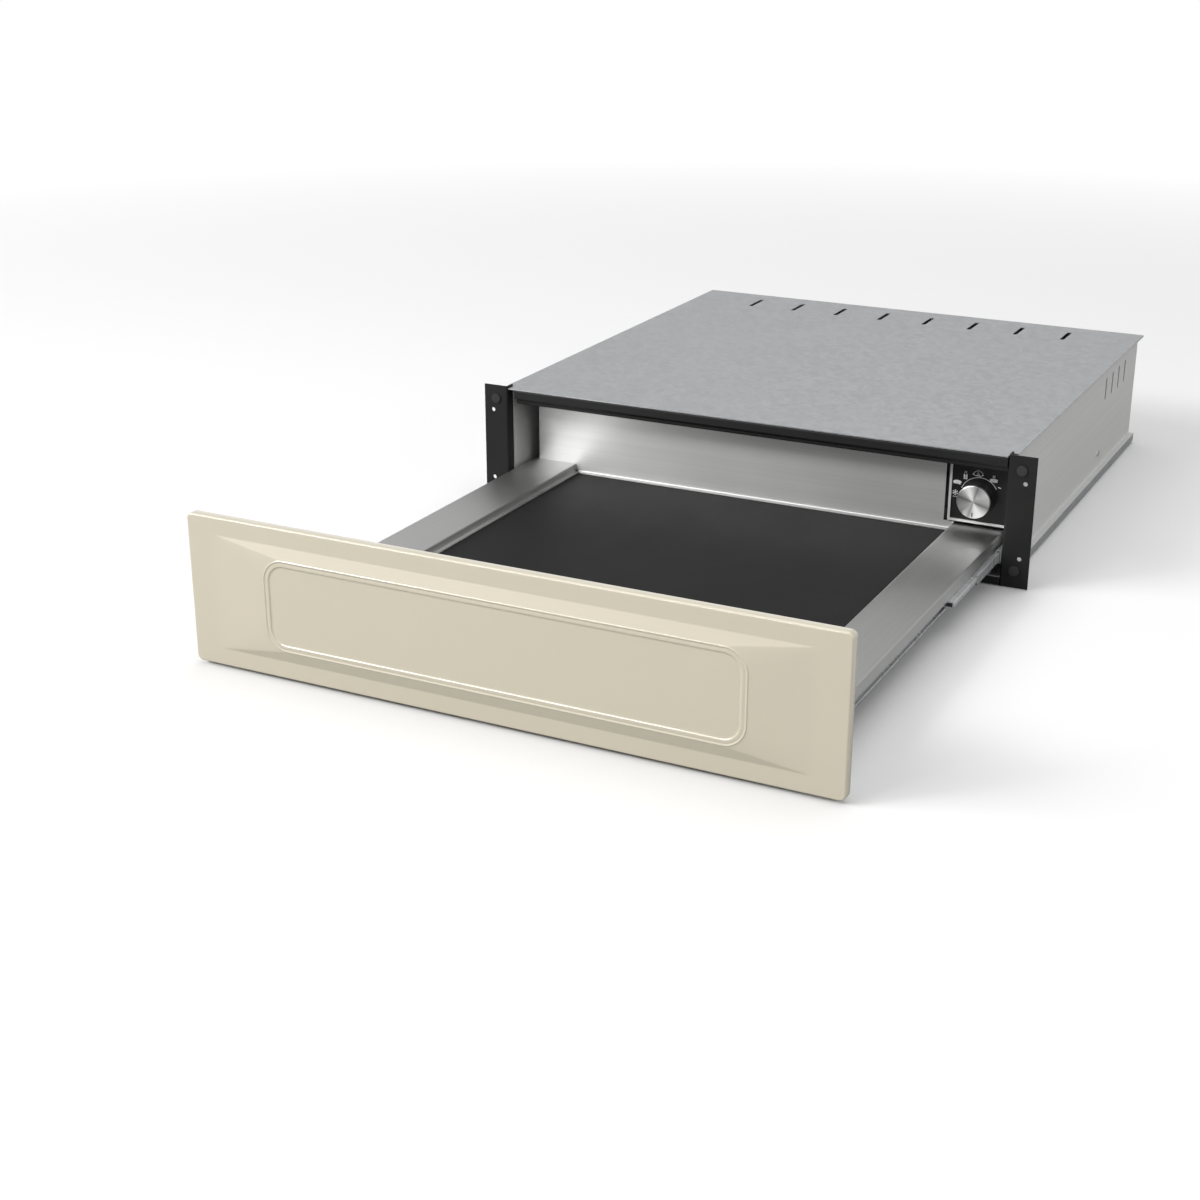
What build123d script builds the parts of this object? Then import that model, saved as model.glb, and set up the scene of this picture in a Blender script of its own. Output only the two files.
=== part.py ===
"""Built-in warming drawer with a push-to-open enamelled front, drawn in the open position.

X runs across the drawer, +Y goes into the cabinet and Z is up. The origin is the middle of the
part's footprint: z = 0 is the niche floor, and y = 0 is half way from the front to the back.
"""
import os

from build123d import *

# ---- driving dimensions, in millimetres ----
# enamelled front
front_width = 597.0          # one 600 module less its gaps
front_height = 135.0
front_rim_depth = 9.0        # how far the pressed edge is turned back
front_sheet = 1.5
front_edge_radius = 3.2
front_corner_radius = 5.5
front_floor_gap = 3.0        # front's lower edge above the niche floor
border_side = 28.0           # flat border left and right
border_top = 16.0            # flat border above and below
slope_rise = 4.0             # height of the sloped faces
ring_from_side = 79.4        # front's outline to the crest of the slopes
ring_from_top = 27.0
ring_radius = 20.0
crest_land = 0.8             # from the crest to the groove
groove_width = 2.0
groove_depth = 0.9
bead_width = 5.2             # rounded bead inside the groove
bead_over_crest = 0.3
bead_fillet = 1.1
field_under_crest = 0.6      # the flat middle field
backing_depth = 9.0          # stiffener behind the pressed front
backing_inset = 8.0          # its outline inside the front's outline
backing_window = 90.0        # its lightening slots
backing_window_height = 16.0
backing_window_rise = 20.0

# travel
open_travel = 480.0          # closed to the position drawn here
closing_gap = 2.0            # front's back to the carcass flanges when closed
running_gap = 0.3            # air between parts that move past each other

# sheet metal
steel = 1.0                  # stainless and galvanised sheet
trim_sheet = 1.5             # black steel trims
bend = 1.6                   # outside radius of a fold
trim_bend = 2.2
rail_bend = 1.9
rivet_radius = 1.6
rivet_head = 1.4
rivet_facet_count = 12       # rivets and their holes repeat, so they are faceted
screw_radius = 2.0
screw_flats = 7.0            # hexagon head
screw_head = 2.2
screw_reach = 4.0

# tray
cover_width = 52.0           # flat top of a side cover
cover_top = 44.0             # above the niche floor
cover_lip = 12.5             # outer lip's drop
cover_step = 8.0             # inner step down to the ledge
ledge_width = 4.0            # ledge that frames the glass
tray_floor = 16.0            # underside of the pan
pan_wall = 16.0
channel_depth = 12.0         # front crossmember, front to back
glass_thickness = 5.0
glass_overlap = 4.0          # glass hidden under the ledges
glass_front_gap = 1.5
glass_corner = 6.0
glass_chamfer = 0.6
gasket_height = 1.5
gasket_width = 6.0
support_inset = 9.0          # glass support inside the pan's ends
support_offset = 2.0         # its web outside the glass opening
support_ledge = 8.0
support_foot = 8.0
support_foot_end = 6.0
mat_thickness = 3.0
mat_inset = 12.0
back_wall_depth = 541.0      # front face to the back wall
back_wall_hem = 8.0
back_wall_fold = 6.0         # hem's turned-down edge
back_wall_ledge = 4.0        # forward ledge over the glass
back_wall_inset = 7.0        # its left end inside the left cover's lip
rear_channel = 8.0           # crossmember behind the back wall
crossmember_top = 56.0

# heating element
element_radius = 3.2
element_faces = 8
element_z = 24.0
element_passes = 4
element_bend = 14.0
element_inset = 30.0         # its ends inside the glass opening
element_tail = 6.0
leg_spacing = 16.0
bush_radius = 4.4            # ceramic bush at each cold end
bush_flange = 1.0
bush_length = 2.5
clip_width = 10.0            # straps over the element
clip_sheet = 0.8
clip_foot = 8.0
clip_air = 0.1
cutout_x = 20.0              # safety cut-out
cutout_radius = 9.0
cutout_height = 6.0
tab_width = 4.0
tab_length = 6.0
tab_height = 3.0

# telescopic runners
slide_height = 14.0
slide_reach = 14.8           # carcass side to the drawer's side rail
slide_channel = 5.6          # depth of each C channel
slide_lip = 3.5
slide_sheet = 1.1
slide_bend = 2.5
slide_setback = 4.0          # runner's front end behind the carcass flanges
slide_centre = 28.0          # above the niche floor
slide_rear_gap = 99.0        # runner's rear end inside the tray's length
middle_height = 6.2
middle_side_gap = 2.3        # middle member to each channel's web
middle_corner = 1.5
middle_share = 0.3           # middle member's travel per drawer travel
cage_share = 0.15            # ball cage's travel per drawer travel
cage_length = 190.0
cage_sheet = 0.5
cage_bend = 1.0
cage_gap = 0.35
cage_leg = 2.6
cage_end = 12.0              # outermost balls inside the cage's ends
ball_radius = 0.9
ball_faces = 8
ball_offset = 1.6            # from the cage's web
balls_per_race = 2

# carcass
body_inset = 22.0            # carcass inside the front's width, each side
body_under_front = 8.0       # its top below the front's upper edge
side_fold = 7.0              # carcass side inside its own folds
side_air = 7.5               # tray's lip to the carcass side
pan_top = 10.0
pan_skirt = 7.0              # folded skirt of the base pan
base_bead_width = 20.0
base_bead_rise = 1.5
base_bead_spacing = 150.0
base_bead_end = 45.0         # bead's end inside the base's end
flange_inset = 0.5           # black front flange inside the front's width
flange_return = 12.0         # its leg into the carcass
flange_low = 0.5
flange_over = 2.0            # its top above the carcass
fixing_inset = 10.0          # screw places from the flange's outer edge
fixing_low = 30.0
fixing_from_top = 25.0
fixing_hole = 2.25           # radius
rail_drop = 16.5             # black rail's lower edge below the carcass top
rail_step_drop = 11.0
rail_step = 4.0
rail_depth = 14.0
rail_upturn = 6.0
rail_head = 16.0
rail_end_gap = 8.0
bumper_radius = 5.0
bumper_stem = 2.5
bumper_tail = 3.0
bumper_inset = 14.0          # from the flange's outer edge
bumper_low = 18.0
bumper_from_top = 12.0
trim_depth = 11.0
corner_screw_inset = 14.0    # flat screws at the front of the base
corner_screw_back = 15.0
corner_screw_head = 5.0
corner_screw_height = 1.6
gland_inset = 69.5           # mains entry from the carcass side
gland_z = 70.0
gland_radius = 8.0
gland_bore = 4.0
gland_flats = 22.0
gland_flange = 5.0
gland_nose = 3.0
gland_nut = 4.0
gland_tail = 6.0
foot_radius = 12.0
foot_chamfer = 1.0
foot_side = 46.5             # rubber feet from the carcass's outline
foot_front = 30.0
foot_back = 40.0
slot_width = 5.0             # air slots, with their corners cut
slot_corner = 1.5
side_slots = 4
side_slot = 26.0
side_slot_pitch = 30.0
side_slot_back = 60.0
side_slot_drop = 30.0
rear_slots = 6
rear_slot = 30.0
rear_slot_pitch = 28.0
rear_slot_start = 50.0
rear_slot_drop = 32.0
rear_fold = 8.0
lid_slots = 8
lid_slot = 40.0
lid_slot_pitch = 56.0
lid_slot_back = 45.0

# control box, fixed in the carcass at the right
box_from_cover = 5.5         # its left side inside the right cover's edge
box_over_cover = 2.5
box_under_rail = 1.0
box_side_gap = 5.0           # back wall to the control box beside it
box_setback = 37.0           # its face behind the carcass flanges
box_depth = 62.0
bezel_width = 2.5
bezel_proud = 1.0
fascia_thickness = 2.0
knob_from_left = 30.2        # knob's axis from the box's left side
knob_from_bottom = 28.0
knob_radius = 16.5
knob_skirt_flare = 0.9
knob_foot = 2.0
knob_waist = 5.0
knob_height = 20.0
knob_wall = 2.0
knob_boss = 6.0
knob_hollow = 10.0
cap_thickness = 3.5
cap_round = 0.9
notch_width = 1.2            # pointer's notch
notch_length = 4.4
notch_depth = 0.5
notch_inset = 1.6
knob_gap = 0.8               # knob above the fascia
spindle_radius = 3.0
spindle_flat = 0.8
spindle_end = 3.0
neck_wall = 2.0
thermostat_radius = 16.0
thermostat_depth = 22.0
thermostat_bore = 14.0
thermostat_tab_x = 8.0
thermostat_tab = 6.0
thermostat_tab_length = 8.0
thermostat_tab_sheet = 0.8
lens_from_left = 22.0
lens_under_top = 4.3
lens_width = 16.5
lens_height = 2.4
lens_proud = 0.3
lamp_inset = 3.0
lamp_depth = 12.0

# push latch, terminals
latch_width = 34.0
latch_height = 22.0
latch_depth = 12.0
latch_z = 37.0
latch_corner = 3.0
latch_floor = 1.0
plunger_radius = 3.5
plunger_reach = 5.0          # striker to the latch's face, drawer closed
plunger_round = 1.2
latch_stroke = 4.0
striker_width = 36.0
striker_foot = 8.0
striker_thickness = 1.5
striker_end = 4.0
terminal_gap = 30.0
terminal_width = 50.0
terminal_depth = 14.0
terminal_height = 20.0
terminal_pitch = 15.0
terminal_ways = 3
terminal_screw = 3.0
terminal_screw_rise = 4.0
terminal_screw_depth = 6.0

# ---- places worked out from them ----
relief = slope_rise + bead_over_crest
tray_length = back_wall_depth + rear_channel
rear_reserve = gland_flange + gland_nose
closed_depth = (tray_length + striker_thickness + running_gap + plunger_reach + latch_depth
                + steel + rear_reserve)
total_length = relief + open_travel + closed_depth
face_y = relief - total_length / 2                       # flat border of the front, open
closed_y = face_y + open_travel                          # the same face when closed
rear_y = total_length / 2
front_z = front_floor_gap + front_height / 2
backing_y = face_y + front_rim_depth
tray_front_y = backing_y + backing_depth
tray_rear_y = face_y + tray_length
wall_y = face_y + back_wall_depth
pan_front_y = tray_front_y + channel_depth
carcass_y = tray_front_y + open_travel + closing_gap
carcass_side_y = carcass_y + flange_return
rear_wall_y = rear_y - rear_reserve
body_half_width = front_width / 2 - body_inset
body_height = front_height + front_floor_gap - body_under_front
side_inner = body_half_width - side_fold
flange_inner = side_inner + steel
flange_outer = front_width / 2 - flange_inset
flange_high = body_height + flange_over
tray_half_width = side_inner - side_air
cover_inner = tray_half_width - cover_width
cover_under = cover_top - steel
ledge_top = cover_top - cover_step
ledge_edge = cover_inner - ledge_width
ledge_front_y = pan_front_y + ledge_width
glass_top = ledge_top - steel - running_gap
glass_bottom = glass_top - glass_thickness
glass_half_width = cover_inner + glass_overlap
glass_front_y = pan_front_y + glass_front_gap
glass_rear_y = wall_y - running_gap
pan_inside = tray_floor + steel
mat_top = pan_inside + mat_thickness
support_web = cover_inner + support_offset
rail_outer = side_inner - slide_reach                    # drawer side rail, outer face
rail_inner = rail_outer - steel
screw_z = (tray_floor + cover_under) / 2
slide_length = tray_length - slide_rear_gap
slide_y = carcass_y + slide_setback
slide_open_y = slide_y - open_travel                     # the drawer member's front end
middle_y = slide_y - open_travel * middle_share
middle_width = slide_reach - 2 * middle_side_gap
cage_y = slide_y - open_travel * cage_share
lid_under = body_height - steel
rail_low = body_height - rail_drop
rail_step_z = body_height - rail_step_drop
rail_left = rail_end_gap - side_inner
back_wall_top = rail_low - 5 * steel
fixing_x = flange_outer - fixing_inset
fixing_high = body_height - fixing_from_top
fixing_heights = (fixing_low, fixing_high)
bumper_x = flange_outer - bumper_inset
bumper_heights = (bumper_low, body_height - bumper_from_top)
corner_screw_x = side_inner - corner_screw_inset
corner_screw_y = carcass_y + corner_screw_back
gland_x = gland_inset - side_inner
box_left = cover_inner - box_from_cover
box_bottom = cover_top + box_over_cover
box_top = rail_low - box_under_rail
box_y = carcass_y + box_setback
fascia_back = box_y + fascia_thickness
wall_right = box_left - box_side_gap
knob_x = box_left + knob_from_left
knob_z = box_bottom + knob_from_bottom
knob_length = knob_height - cap_thickness
knob_foot_y = box_y - knob_gap
knob_face_y = knob_foot_y - knob_height
lens_x = box_left + lens_from_left
lens_z = box_top - lens_under_top
striker_y = tray_rear_y + striker_thickness
latch_front_y = rear_wall_y - steel - latch_depth
latch_back_y = rear_wall_y - steel - latch_floor
plunger_tip_y = striker_y + open_travel + running_gap
element_half_width = cover_inner - element_inset
element_legs = (-element_half_width - leg_spacing, -element_half_width)
element_pitch = (wall_y - pan_front_y) / (element_passes + 1)
element_rows = [pan_front_y + element_pitch * (row + 1) for row in range(element_passes)]
cutout_y = (pan_front_y + wall_y) / 2
screw_end = rail_inner - 2 * element_bend
screw_places_x = (-screw_end, -screw_end / 3, screw_end / 3, screw_end)
slide_rivets = (0.15 * slide_length, 0.85 * slide_length)
sides = {"left": -1, "right": 1}


# ---- small helpers ----
def along_y(outline, start_y, end_y):
    """Extrude an outline drawn in X and Z from start_y back to end_y."""
    plane = Plane((0, start_y, 0), x_dir=(1, 0, 0), z_dir=(0, -1, 0))
    return extrude(plane * outline, amount=start_y - end_y)


def along_x(outline, start_x, end_x):
    """Extrude an outline drawn in Y and Z from start_x to end_x."""
    plane = Plane((start_x, 0, 0), x_dir=(0, 1, 0), z_dir=(1, 0, 0))
    return extrude(plane * outline, amount=end_x - start_x)


def folded(points, thickness, radius=bend):
    """Outline of a folded sheet, with its metal to the left of the path."""
    path = FilletPolyline(*points, radius=radius)
    first = Vector(*points[0])
    ahead = Vector(*points[1]) - first
    metal = first + ahead * 0.5 + ahead.normalized().rotate(Axis.Z, 90) * (thickness / 2)
    outlines = [make_face(offset(path, amount=thickness, side=side, closed=True))
                for side in (Side.LEFT, Side.RIGHT)]
    return min(outlines, key=lambda outline: outline.distance_to(metal))


def block(x0, x1, y0, y1, z0, z1):
    return Pos((x0 + x1) / 2, (y0 + y1) / 2, (z0 + z1) / 2) * Box(x1 - x0, y1 - y0, z1 - z0)


def rod_y(x, z, radius, y0, y1):
    return Pos(x, (y0 + y1) / 2, z) * Rot(90, 0, 0) * Cylinder(radius, y1 - y0)


def rivet_x(y, z, radius, x0, x1):
    """Faceted rivet, or the hole for one, across the sides."""
    return along_x(Pos(y, z) * RegularPolygon(radius, rivet_facet_count), x0, x1)


def rod_z(x, y, radius, z0, z1):
    return Pos(x, y, (z0 + z1) / 2) * Cylinder(radius, z1 - z0)


def hexagon_y(x, z, across_flats, y0, y1):
    outline = Pos(x, z) * RegularPolygon(across_flats / 2, 6, major_radius=False)
    return along_y(outline, y0, y1)


def air_slot(length, turn=0):
    """Outline of a punched air slot."""
    outline = chamfer(Rectangle(length, slot_width).vertices(), slot_corner)
    return Rot(0, 0, turn) * outline


def ring_frame(outer_x, y0, y1, inner_x, inner_y0, inner_y1, z0, z1):
    """Flat rectangular ring."""
    return block(-outer_x, outer_x, y0, y1, z0, z1) - block(-inner_x, inner_x, inner_y0, inner_y1, z0, z1)


def spread(count, pitch, middle=0.0):
    """Evenly spaced places about a middle."""
    return [middle + pitch * (step - (count - 1) / 2) for step in range(count)]


def on_side(shape, side):
    """The right-hand piece as it is, or its mirror image for the left."""
    return shape if sides[side] > 0 else mirror(shape, about=Plane.YZ)


def both_sides(shape):
    return shape + mirror(shape, about=Plane.YZ)


# ---- the enamelled front ----
def front_slab(inset, corner, near_y, far_y):
    """Rounded rectangle, inset from the front's outline, between two depths."""
    outline = RectangleRounded(front_width - 2 * inset, front_height - 2 * inset, corner)
    return along_y(Pos(0, front_z) * outline, near_y, far_y)


def front_slopes(inset):
    """Sloped faces from the flat border up to the crest, with cone-shaped corners."""
    foot = RectangleRounded(front_width - 2 * (border_side + inset),
                            front_height - 2 * (border_top + inset), front_sheet)
    crest = RectangleRounded(front_width - 2 * (ring_from_side + inset),
                             front_height - 2 * (ring_from_top + inset), ring_radius - inset)
    foot_plane = Plane((0, face_y + inset, front_z), x_dir=(1, 0, 0), z_dir=(0, -1, 0))
    return loft([foot_plane * foot, foot_plane.offset(slope_rise) * crest], ruled=True)


def ring_slab(inset, near_y, far_y):
    """Slab with the crest's outline, inset by a distance, between two depths."""
    outline = RectangleRounded(front_width - 2 * (ring_from_side + inset),
                               front_height - 2 * (ring_from_top + inset), ring_radius - inset)
    return along_y(Pos(0, front_z) * outline, near_y, far_y)


def make_front_panel():
    """Pressed front: rolled rim, flat border, slopes, groove, bead and middle field."""
    rim = front_slab(0, front_corner_radius, face_y, backing_y)
    rim = fillet(rim.faces().sort_by(Axis.Y)[0].edges(), front_edge_radius)
    crest_y = face_y - slope_rise
    floor_y = crest_y + groove_depth
    bead_outer = crest_land + groove_width
    bead_inner = bead_outer + bead_width
    pocket = ring_slab(crest_land, crest_y - front_sheet, floor_y)
    bead = ring_slab(bead_outer, crest_y - bead_over_crest, floor_y)
    bead -= ring_slab(bead_inner, crest_y - bead_over_crest, floor_y)
    bead = fillet(bead.faces().sort_by(Axis.Y)[0].edges(), bead_fillet)
    field = ring_slab(bead_outer + bead_width / 2, crest_y + field_under_crest, floor_y)
    hollow = front_slab(front_sheet, front_corner_radius - front_sheet, face_y + front_sheet, backing_y)
    return rim + front_slopes(0) - pocket + bead + field - hollow - front_slopes(front_sheet)


def make_front_backplate():
    """Stiffener pan that carries the pressed front."""
    half = front_width / 2 - backing_inset
    low = front_floor_gap + backing_inset
    high = front_floor_gap + front_height - backing_inset
    near = face_y + front_sheet
    pan = block(-half, half, near, tray_front_y, low, high)
    pan -= block(-half + steel, half - steel, near, tray_front_y - steel, low + steel, high - steel)
    for x in screw_places_x:
        window = Pos(x, front_z + backing_window_rise) * SlotOverall(backing_window, backing_window_height)
        pan -= along_y(window, tray_front_y - steel, tray_front_y)
        pan -= rod_y(x, screw_z, screw_radius, tray_front_y - steel, tray_front_y)
    return pan


def make_front_crossmember():
    """Channel across the tray's front, screwed to the stiffener."""
    path = [(pan_front_y - bend, cover_under), (tray_front_y, cover_under),
            (tray_front_y, tray_floor), (pan_front_y, tray_floor)]
    channel = along_x(folded(path, steel), -rail_inner, rail_inner)
    for x in screw_places_x:
        channel -= rod_y(x, screw_z, screw_radius, tray_front_y, tray_front_y + steel)
    notch_middle = (ledge_edge + cover_inner + steel) / 2
    notch_half = (cover_inner + steel - ledge_edge) / 2 + bend
    for side in sides.values():
        x = side * notch_middle
        channel -= block(x - notch_half, x + notch_half, tray_front_y, pan_front_y,
                         ledge_top - steel - running_gap, cover_under)
    return channel


def make_front_screws():
    """Four screws from the crossmember into the stiffener."""
    group = Part()
    seat = tray_front_y + steel
    for x in screw_places_x:
        group += rod_y(x, screw_z, screw_radius, tray_front_y - screw_reach, seat)
        group += hexagon_y(x, screw_z, screw_flats, seat, seat + screw_head)
    return group


# ---- tray ----
def make_side_cover():
    """Stainless cover of one side: outer lip, flat top, inner step and the glass ledge."""
    path = [(tray_half_width, cover_top - cover_lip), (tray_half_width, cover_top),
            (cover_inner, cover_top), (cover_inner, ledge_top), (ledge_edge, ledge_top)]
    return along_y(folded(path, steel), tray_front_y, tray_rear_y)


def make_side_rail():
    """Folded rail under a side cover; the runner's drawer member is riveted to its web."""
    path = [(tray_half_width - steel - running_gap, cover_under), (rail_inner, cover_under),
            (rail_inner, tray_floor)]
    rail = along_y(folded(path, steel), tray_front_y, tray_rear_y)
    for place in slide_rivets:
        rail -= rivet_x(slide_open_y + place, slide_centre, rivet_radius, rail_inner, rail_outer)
    return rail


def make_tray_front_strip():
    """Stainless strip between the side covers at the front, with the front glass ledge."""
    path = [(ledge_front_y, ledge_top), (pan_front_y, ledge_top),
            (pan_front_y, cover_top), (tray_front_y, cover_top)]
    return along_x(folded(path, steel), -ledge_edge, ledge_edge)


def make_tray_pan():
    """Galvanised pan that holds the heater, with its corner pieces folded up."""
    end_y = wall_y + steel
    top = tray_floor + pan_wall
    pan = block(-rail_inner, rail_inner, pan_front_y, end_y, tray_floor, top)
    pan -= block(-rail_inner + steel, rail_inner - steel, pan_front_y + steel, end_y - steel, pan_inside, top)
    for x in element_legs:
        pan -= rod_y(x, element_z, bush_radius, end_y - steel, end_y)
    for place in slide_rivets:
        y = slide_open_y + place
        pan -= rivet_x(y, slide_centre, rivet_radius, -rail_inner, -rail_inner + steel)
        pan -= rivet_x(y, slide_centre, rivet_radius, rail_inner - steel, rail_inner)
    return pan


def make_insulation_mat():
    half = support_web - steel - running_gap
    mat = block(-half, half, pan_front_y + mat_inset, wall_y - mat_inset, pan_inside, mat_top)
    return mat - rod_z(cutout_x, cutout_y, cutout_radius + steel, pan_inside, mat_top)


def make_glass_support():
    """Folded frame that stands in the pan and carries the glass on its ledge."""
    top = glass_bottom - gasket_height
    y0 = pan_front_y + support_inset
    y1 = wall_y - support_inset
    inside = (support_web - steel, y0 + steel, y1 - steel)
    web = ring_frame(support_web, y0, y1, *inside, pan_inside, top)
    ledge = ring_frame(support_web, y0, y1, support_web - support_ledge, y0 + support_ledge,
                       y1 - support_ledge, top - steel, top)
    foot = ring_frame(support_web + support_foot, y0 - support_foot_end, y1 + support_foot_end, *inside,
                      pan_inside, pan_inside + steel)
    left_leg, right_leg = element_legs
    notch = block(left_leg - bush_radius, right_leg + bush_radius, y1 - 2 * steel,
                  y1 + support_foot_end + steel, pan_inside, element_z + bush_radius - steel)
    return web + ledge + foot - notch


def make_glass_gasket():
    y0 = pan_front_y + support_inset + steel
    y1 = wall_y - support_inset - steel
    half = support_web - steel
    return ring_frame(half, y0, y1, half - gasket_width, y0 + gasket_width, y1 - gasket_width,
                      glass_bottom - gasket_height, glass_bottom)


def make_glass_plate():
    """Black toughened glass floor of the drawer, ground on its edges."""
    glass = block(-glass_half_width, glass_half_width, glass_front_y, glass_rear_y, glass_bottom, glass_top)
    glass = fillet(glass.edges().filter_by(Axis.Z), glass_corner)
    return chamfer(glass.faces().sort_by(Axis.Z)[-1].edges(), glass_chamfer)


# ---- heater ----
def make_heating_element():
    """Tubular element bent into passes, with both cold ends led out at the rear."""
    end_y = wall_y + steel + element_tail
    points = [(element_legs[0], end_y), (element_legs[0], element_rows[0])]
    for row, y in enumerate(element_rows):
        outward = element_half_width if row % 2 == 0 else -element_half_width
        if row > 0:
            points.append((-outward, y))
        points.append((outward, y))
    points.append((element_legs[1], end_y))
    path = FilletPolyline(*points, radius=element_bend)
    tube = Part()
    for piece in path.edges():
        start = piece @ 0
        ahead = piece % 0
        section = Plane(start, x_dir=(0, 0, 1), z_dir=ahead) * RegularPolygon(element_radius, element_faces)
        if piece.geom_type == GeomType.LINE:
            tube += extrude(section, amount=piece.length)
        else:
            turn = Axis(piece.arc_center, ahead.cross(piece.arc_center - start))
            tube += revolve(section, axis=turn, revolution_arc=90)
    return Pos(0, 0, element_z) * tube


def make_element_clips():
    """Straps that hold the element down on the mat."""
    group = Part()
    inner = element_radius + clip_air
    outer = inner + clip_sheet
    half = clip_width / 2
    for y in element_rows:
        for x in (-element_half_width / 2, element_half_width / 2):
            strap = block(x - half, x + half, y - outer, y + outer, mat_top, element_z + outer)
            strap += block(x - half, x + half, y - outer - clip_foot, y + outer + clip_foot,
                           mat_top, mat_top + clip_sheet)
            group += strap - block(x - half, x + half, y - inner, y + inner, mat_top, element_z + inner)
    return group


def make_element_bushes():
    """Ceramic bushes where the element's ends leave the pan."""
    group = Part()
    for x in element_legs:
        bush = rod_y(x, element_z, bush_radius, wall_y, wall_y + steel)
        bush += rod_y(x, element_z, bush_radius + bush_flange, wall_y - bush_length, wall_y)
        group += bush - rod_y(x, element_z, element_radius, wall_y - bush_length, wall_y + steel)
    return group


def make_thermal_cutout():
    """Disc-shaped safety cut-out on the pan, with its two tabs."""
    top = pan_inside + cutout_height
    body = rod_z(cutout_x, cutout_y, cutout_radius, pan_inside, top)
    for x in (cutout_x - tab_width, cutout_x + tab_width):
        body += block(x - tab_width / 2, x + tab_width / 2, cutout_y - tab_length / 2,
                      cutout_y + tab_length / 2, top, top + tab_height)
    return body


# ---- back of the drawer ----
def make_back_wall():
    """Stainless back wall with a hem, a forward glass ledge and notches for the side covers."""
    path = [(wall_y + back_wall_hem, back_wall_top - back_wall_fold),
            (wall_y + back_wall_hem, back_wall_top), (wall_y, back_wall_top), (wall_y, ledge_top),
            (wall_y - back_wall_ledge, ledge_top)]
    left_end = back_wall_inset - tray_half_width
    wall = along_x(folded(path, steel), left_end, cover_inner)
    near = wall_y - back_wall_ledge - steel
    far = wall_y + back_wall_hem + steel
    low = ledge_top - 2 * steel
    wall -= block(left_end - steel, -cover_inner, near, far, low, cover_top)
    wall -= block(wall_right, cover_inner + steel, near, far, cover_top, back_wall_top + steel)
    corner = bend + running_gap
    for side in sides.values():
        outside = side * (cover_inner + steel)
        wall -= block(*sorted((side * ledge_edge, outside)), near, far, low, ledge_top)
        wall -= block(*sorted((side * (cover_inner - corner), outside)), near, far,
                      ledge_top - steel, ledge_top + corner)
    end_return = block(wall_right - steel, wall_right, wall_y + steel, wall_y + back_wall_hem - steel,
                       cover_top + steel, back_wall_top - steel)
    return wall + end_return


def make_rear_crossmember():
    """Channel behind the back wall that ties the side rails together."""
    web_y = wall_y + steel
    path = [(tray_rear_y, crossmember_top), (web_y, crossmember_top), (web_y, tray_floor),
            (tray_rear_y, tray_floor)]
    channel = along_x(folded(path, steel), -rail_inner, rail_inner)
    inner = wall_right - 2 * steel
    for side in sides.values():
        channel -= block(*sorted((side * inner, side * (rail_inner + steel))), web_y - steel,
                         tray_rear_y + steel, ledge_top - steel - running_gap, crossmember_top + steel)
    for x in element_legs:
        channel -= rod_y(x, element_z, bush_radius + bush_flange, web_y, web_y + steel)
    return channel


def make_latch_striker():
    """Hat bracket on the rear crossmember that meets the push latch."""
    seat_y = wall_y + 2 * steel
    half = striker_width / 2
    path = [(-half - striker_foot, seat_y), (-half, seat_y), (-half, tray_rear_y), (half, tray_rear_y),
            (half, seat_y), (half + striker_foot, seat_y)]
    low = tray_floor + striker_end
    high = crossmember_top - striker_end
    return Pos(0, 0, low) * extrude(folded(path, striker_thickness), amount=high - low)


# ---- telescopic runners ----
def slide_channel_member(web_x, toward, start_y):
    """C channel of a runner, open towards the middle member, drawn on the right-hand side."""
    lip_x = web_x + toward * slide_channel
    half = slide_height / 2
    path = [(lip_x, slide_centre + half - slide_lip), (lip_x, slide_centre + half),
            (web_x, slide_centre + half), (web_x, slide_centre - half),
            (lip_x, slide_centre - half), (lip_x, slide_centre - half + slide_lip)]
    if toward < 0:
        path = path[::-1]
    member = along_y(folded(path, slide_sheet, slide_bend), start_y, start_y + slide_length)
    web = (web_x - slide_sheet, web_x + slide_sheet)
    for place in slide_rivets:
        member -= rivet_x(start_y + place, slide_centre, rivet_radius, *web)
    return member


def make_runner_middle():
    """Hollow middle member that runs between the two channels."""
    outer = RectangleRounded(middle_width, middle_height, middle_corner)
    inner = RectangleRounded(middle_width - 2 * slide_sheet, middle_height - 2 * slide_sheet, cage_sheet)
    outline = Pos(side_inner - slide_reach / 2, slide_centre) * (outer - inner)
    return along_y(outline, middle_y, middle_y + slide_length)


def ball(x, y, z):
    """Small ball with flat facets."""
    outline = RegularPolygon(ball_radius, ball_faces)
    upright = extrude(Pos(0, 0, -ball_radius) * outline, amount=2 * ball_radius)
    return Pos(x, y, z) * (upright & along_y(outline, -ball_radius, ball_radius))


def make_ball_cage():
    """Sheet cage between the carcass channel and the middle member, with its balls."""
    web_x = side_inner - slide_sheet - cage_gap
    race = (middle_height + slide_height - 2 * slide_sheet) / 4
    height = race + cage_sheet / 2
    path = [(web_x - cage_leg, slide_centre - height), (web_x, slide_centre - height),
            (web_x, slide_centre + height), (web_x - cage_leg, slide_centre + height)]
    cage = along_y(folded(path, cage_sheet, cage_bend), cage_y, cage_y + cage_length)
    pitch = (cage_length - 2 * cage_end) / (balls_per_race - 1)
    for y in spread(balls_per_race, pitch, cage_y + cage_length / 2):
        for z in (slide_centre - race, slide_centre + race):
            cage += ball(web_x - ball_offset, y, z)
    return cage


def rivet_row(head_x, head_dir, shank_end_x, start_y):
    """Flat-headed rivets in a row, through a sheet and a runner web."""
    group = Part()
    tip = head_x + head_dir * rivet_head
    for place in slide_rivets:
        y = start_y + place
        group += rivet_x(y, slide_centre, rivet_radius, *sorted((head_x, shank_end_x)))
        group += rivet_x(y, slide_centre, rivet_radius * 2, *sorted((head_x, tip)))
    return group


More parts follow.
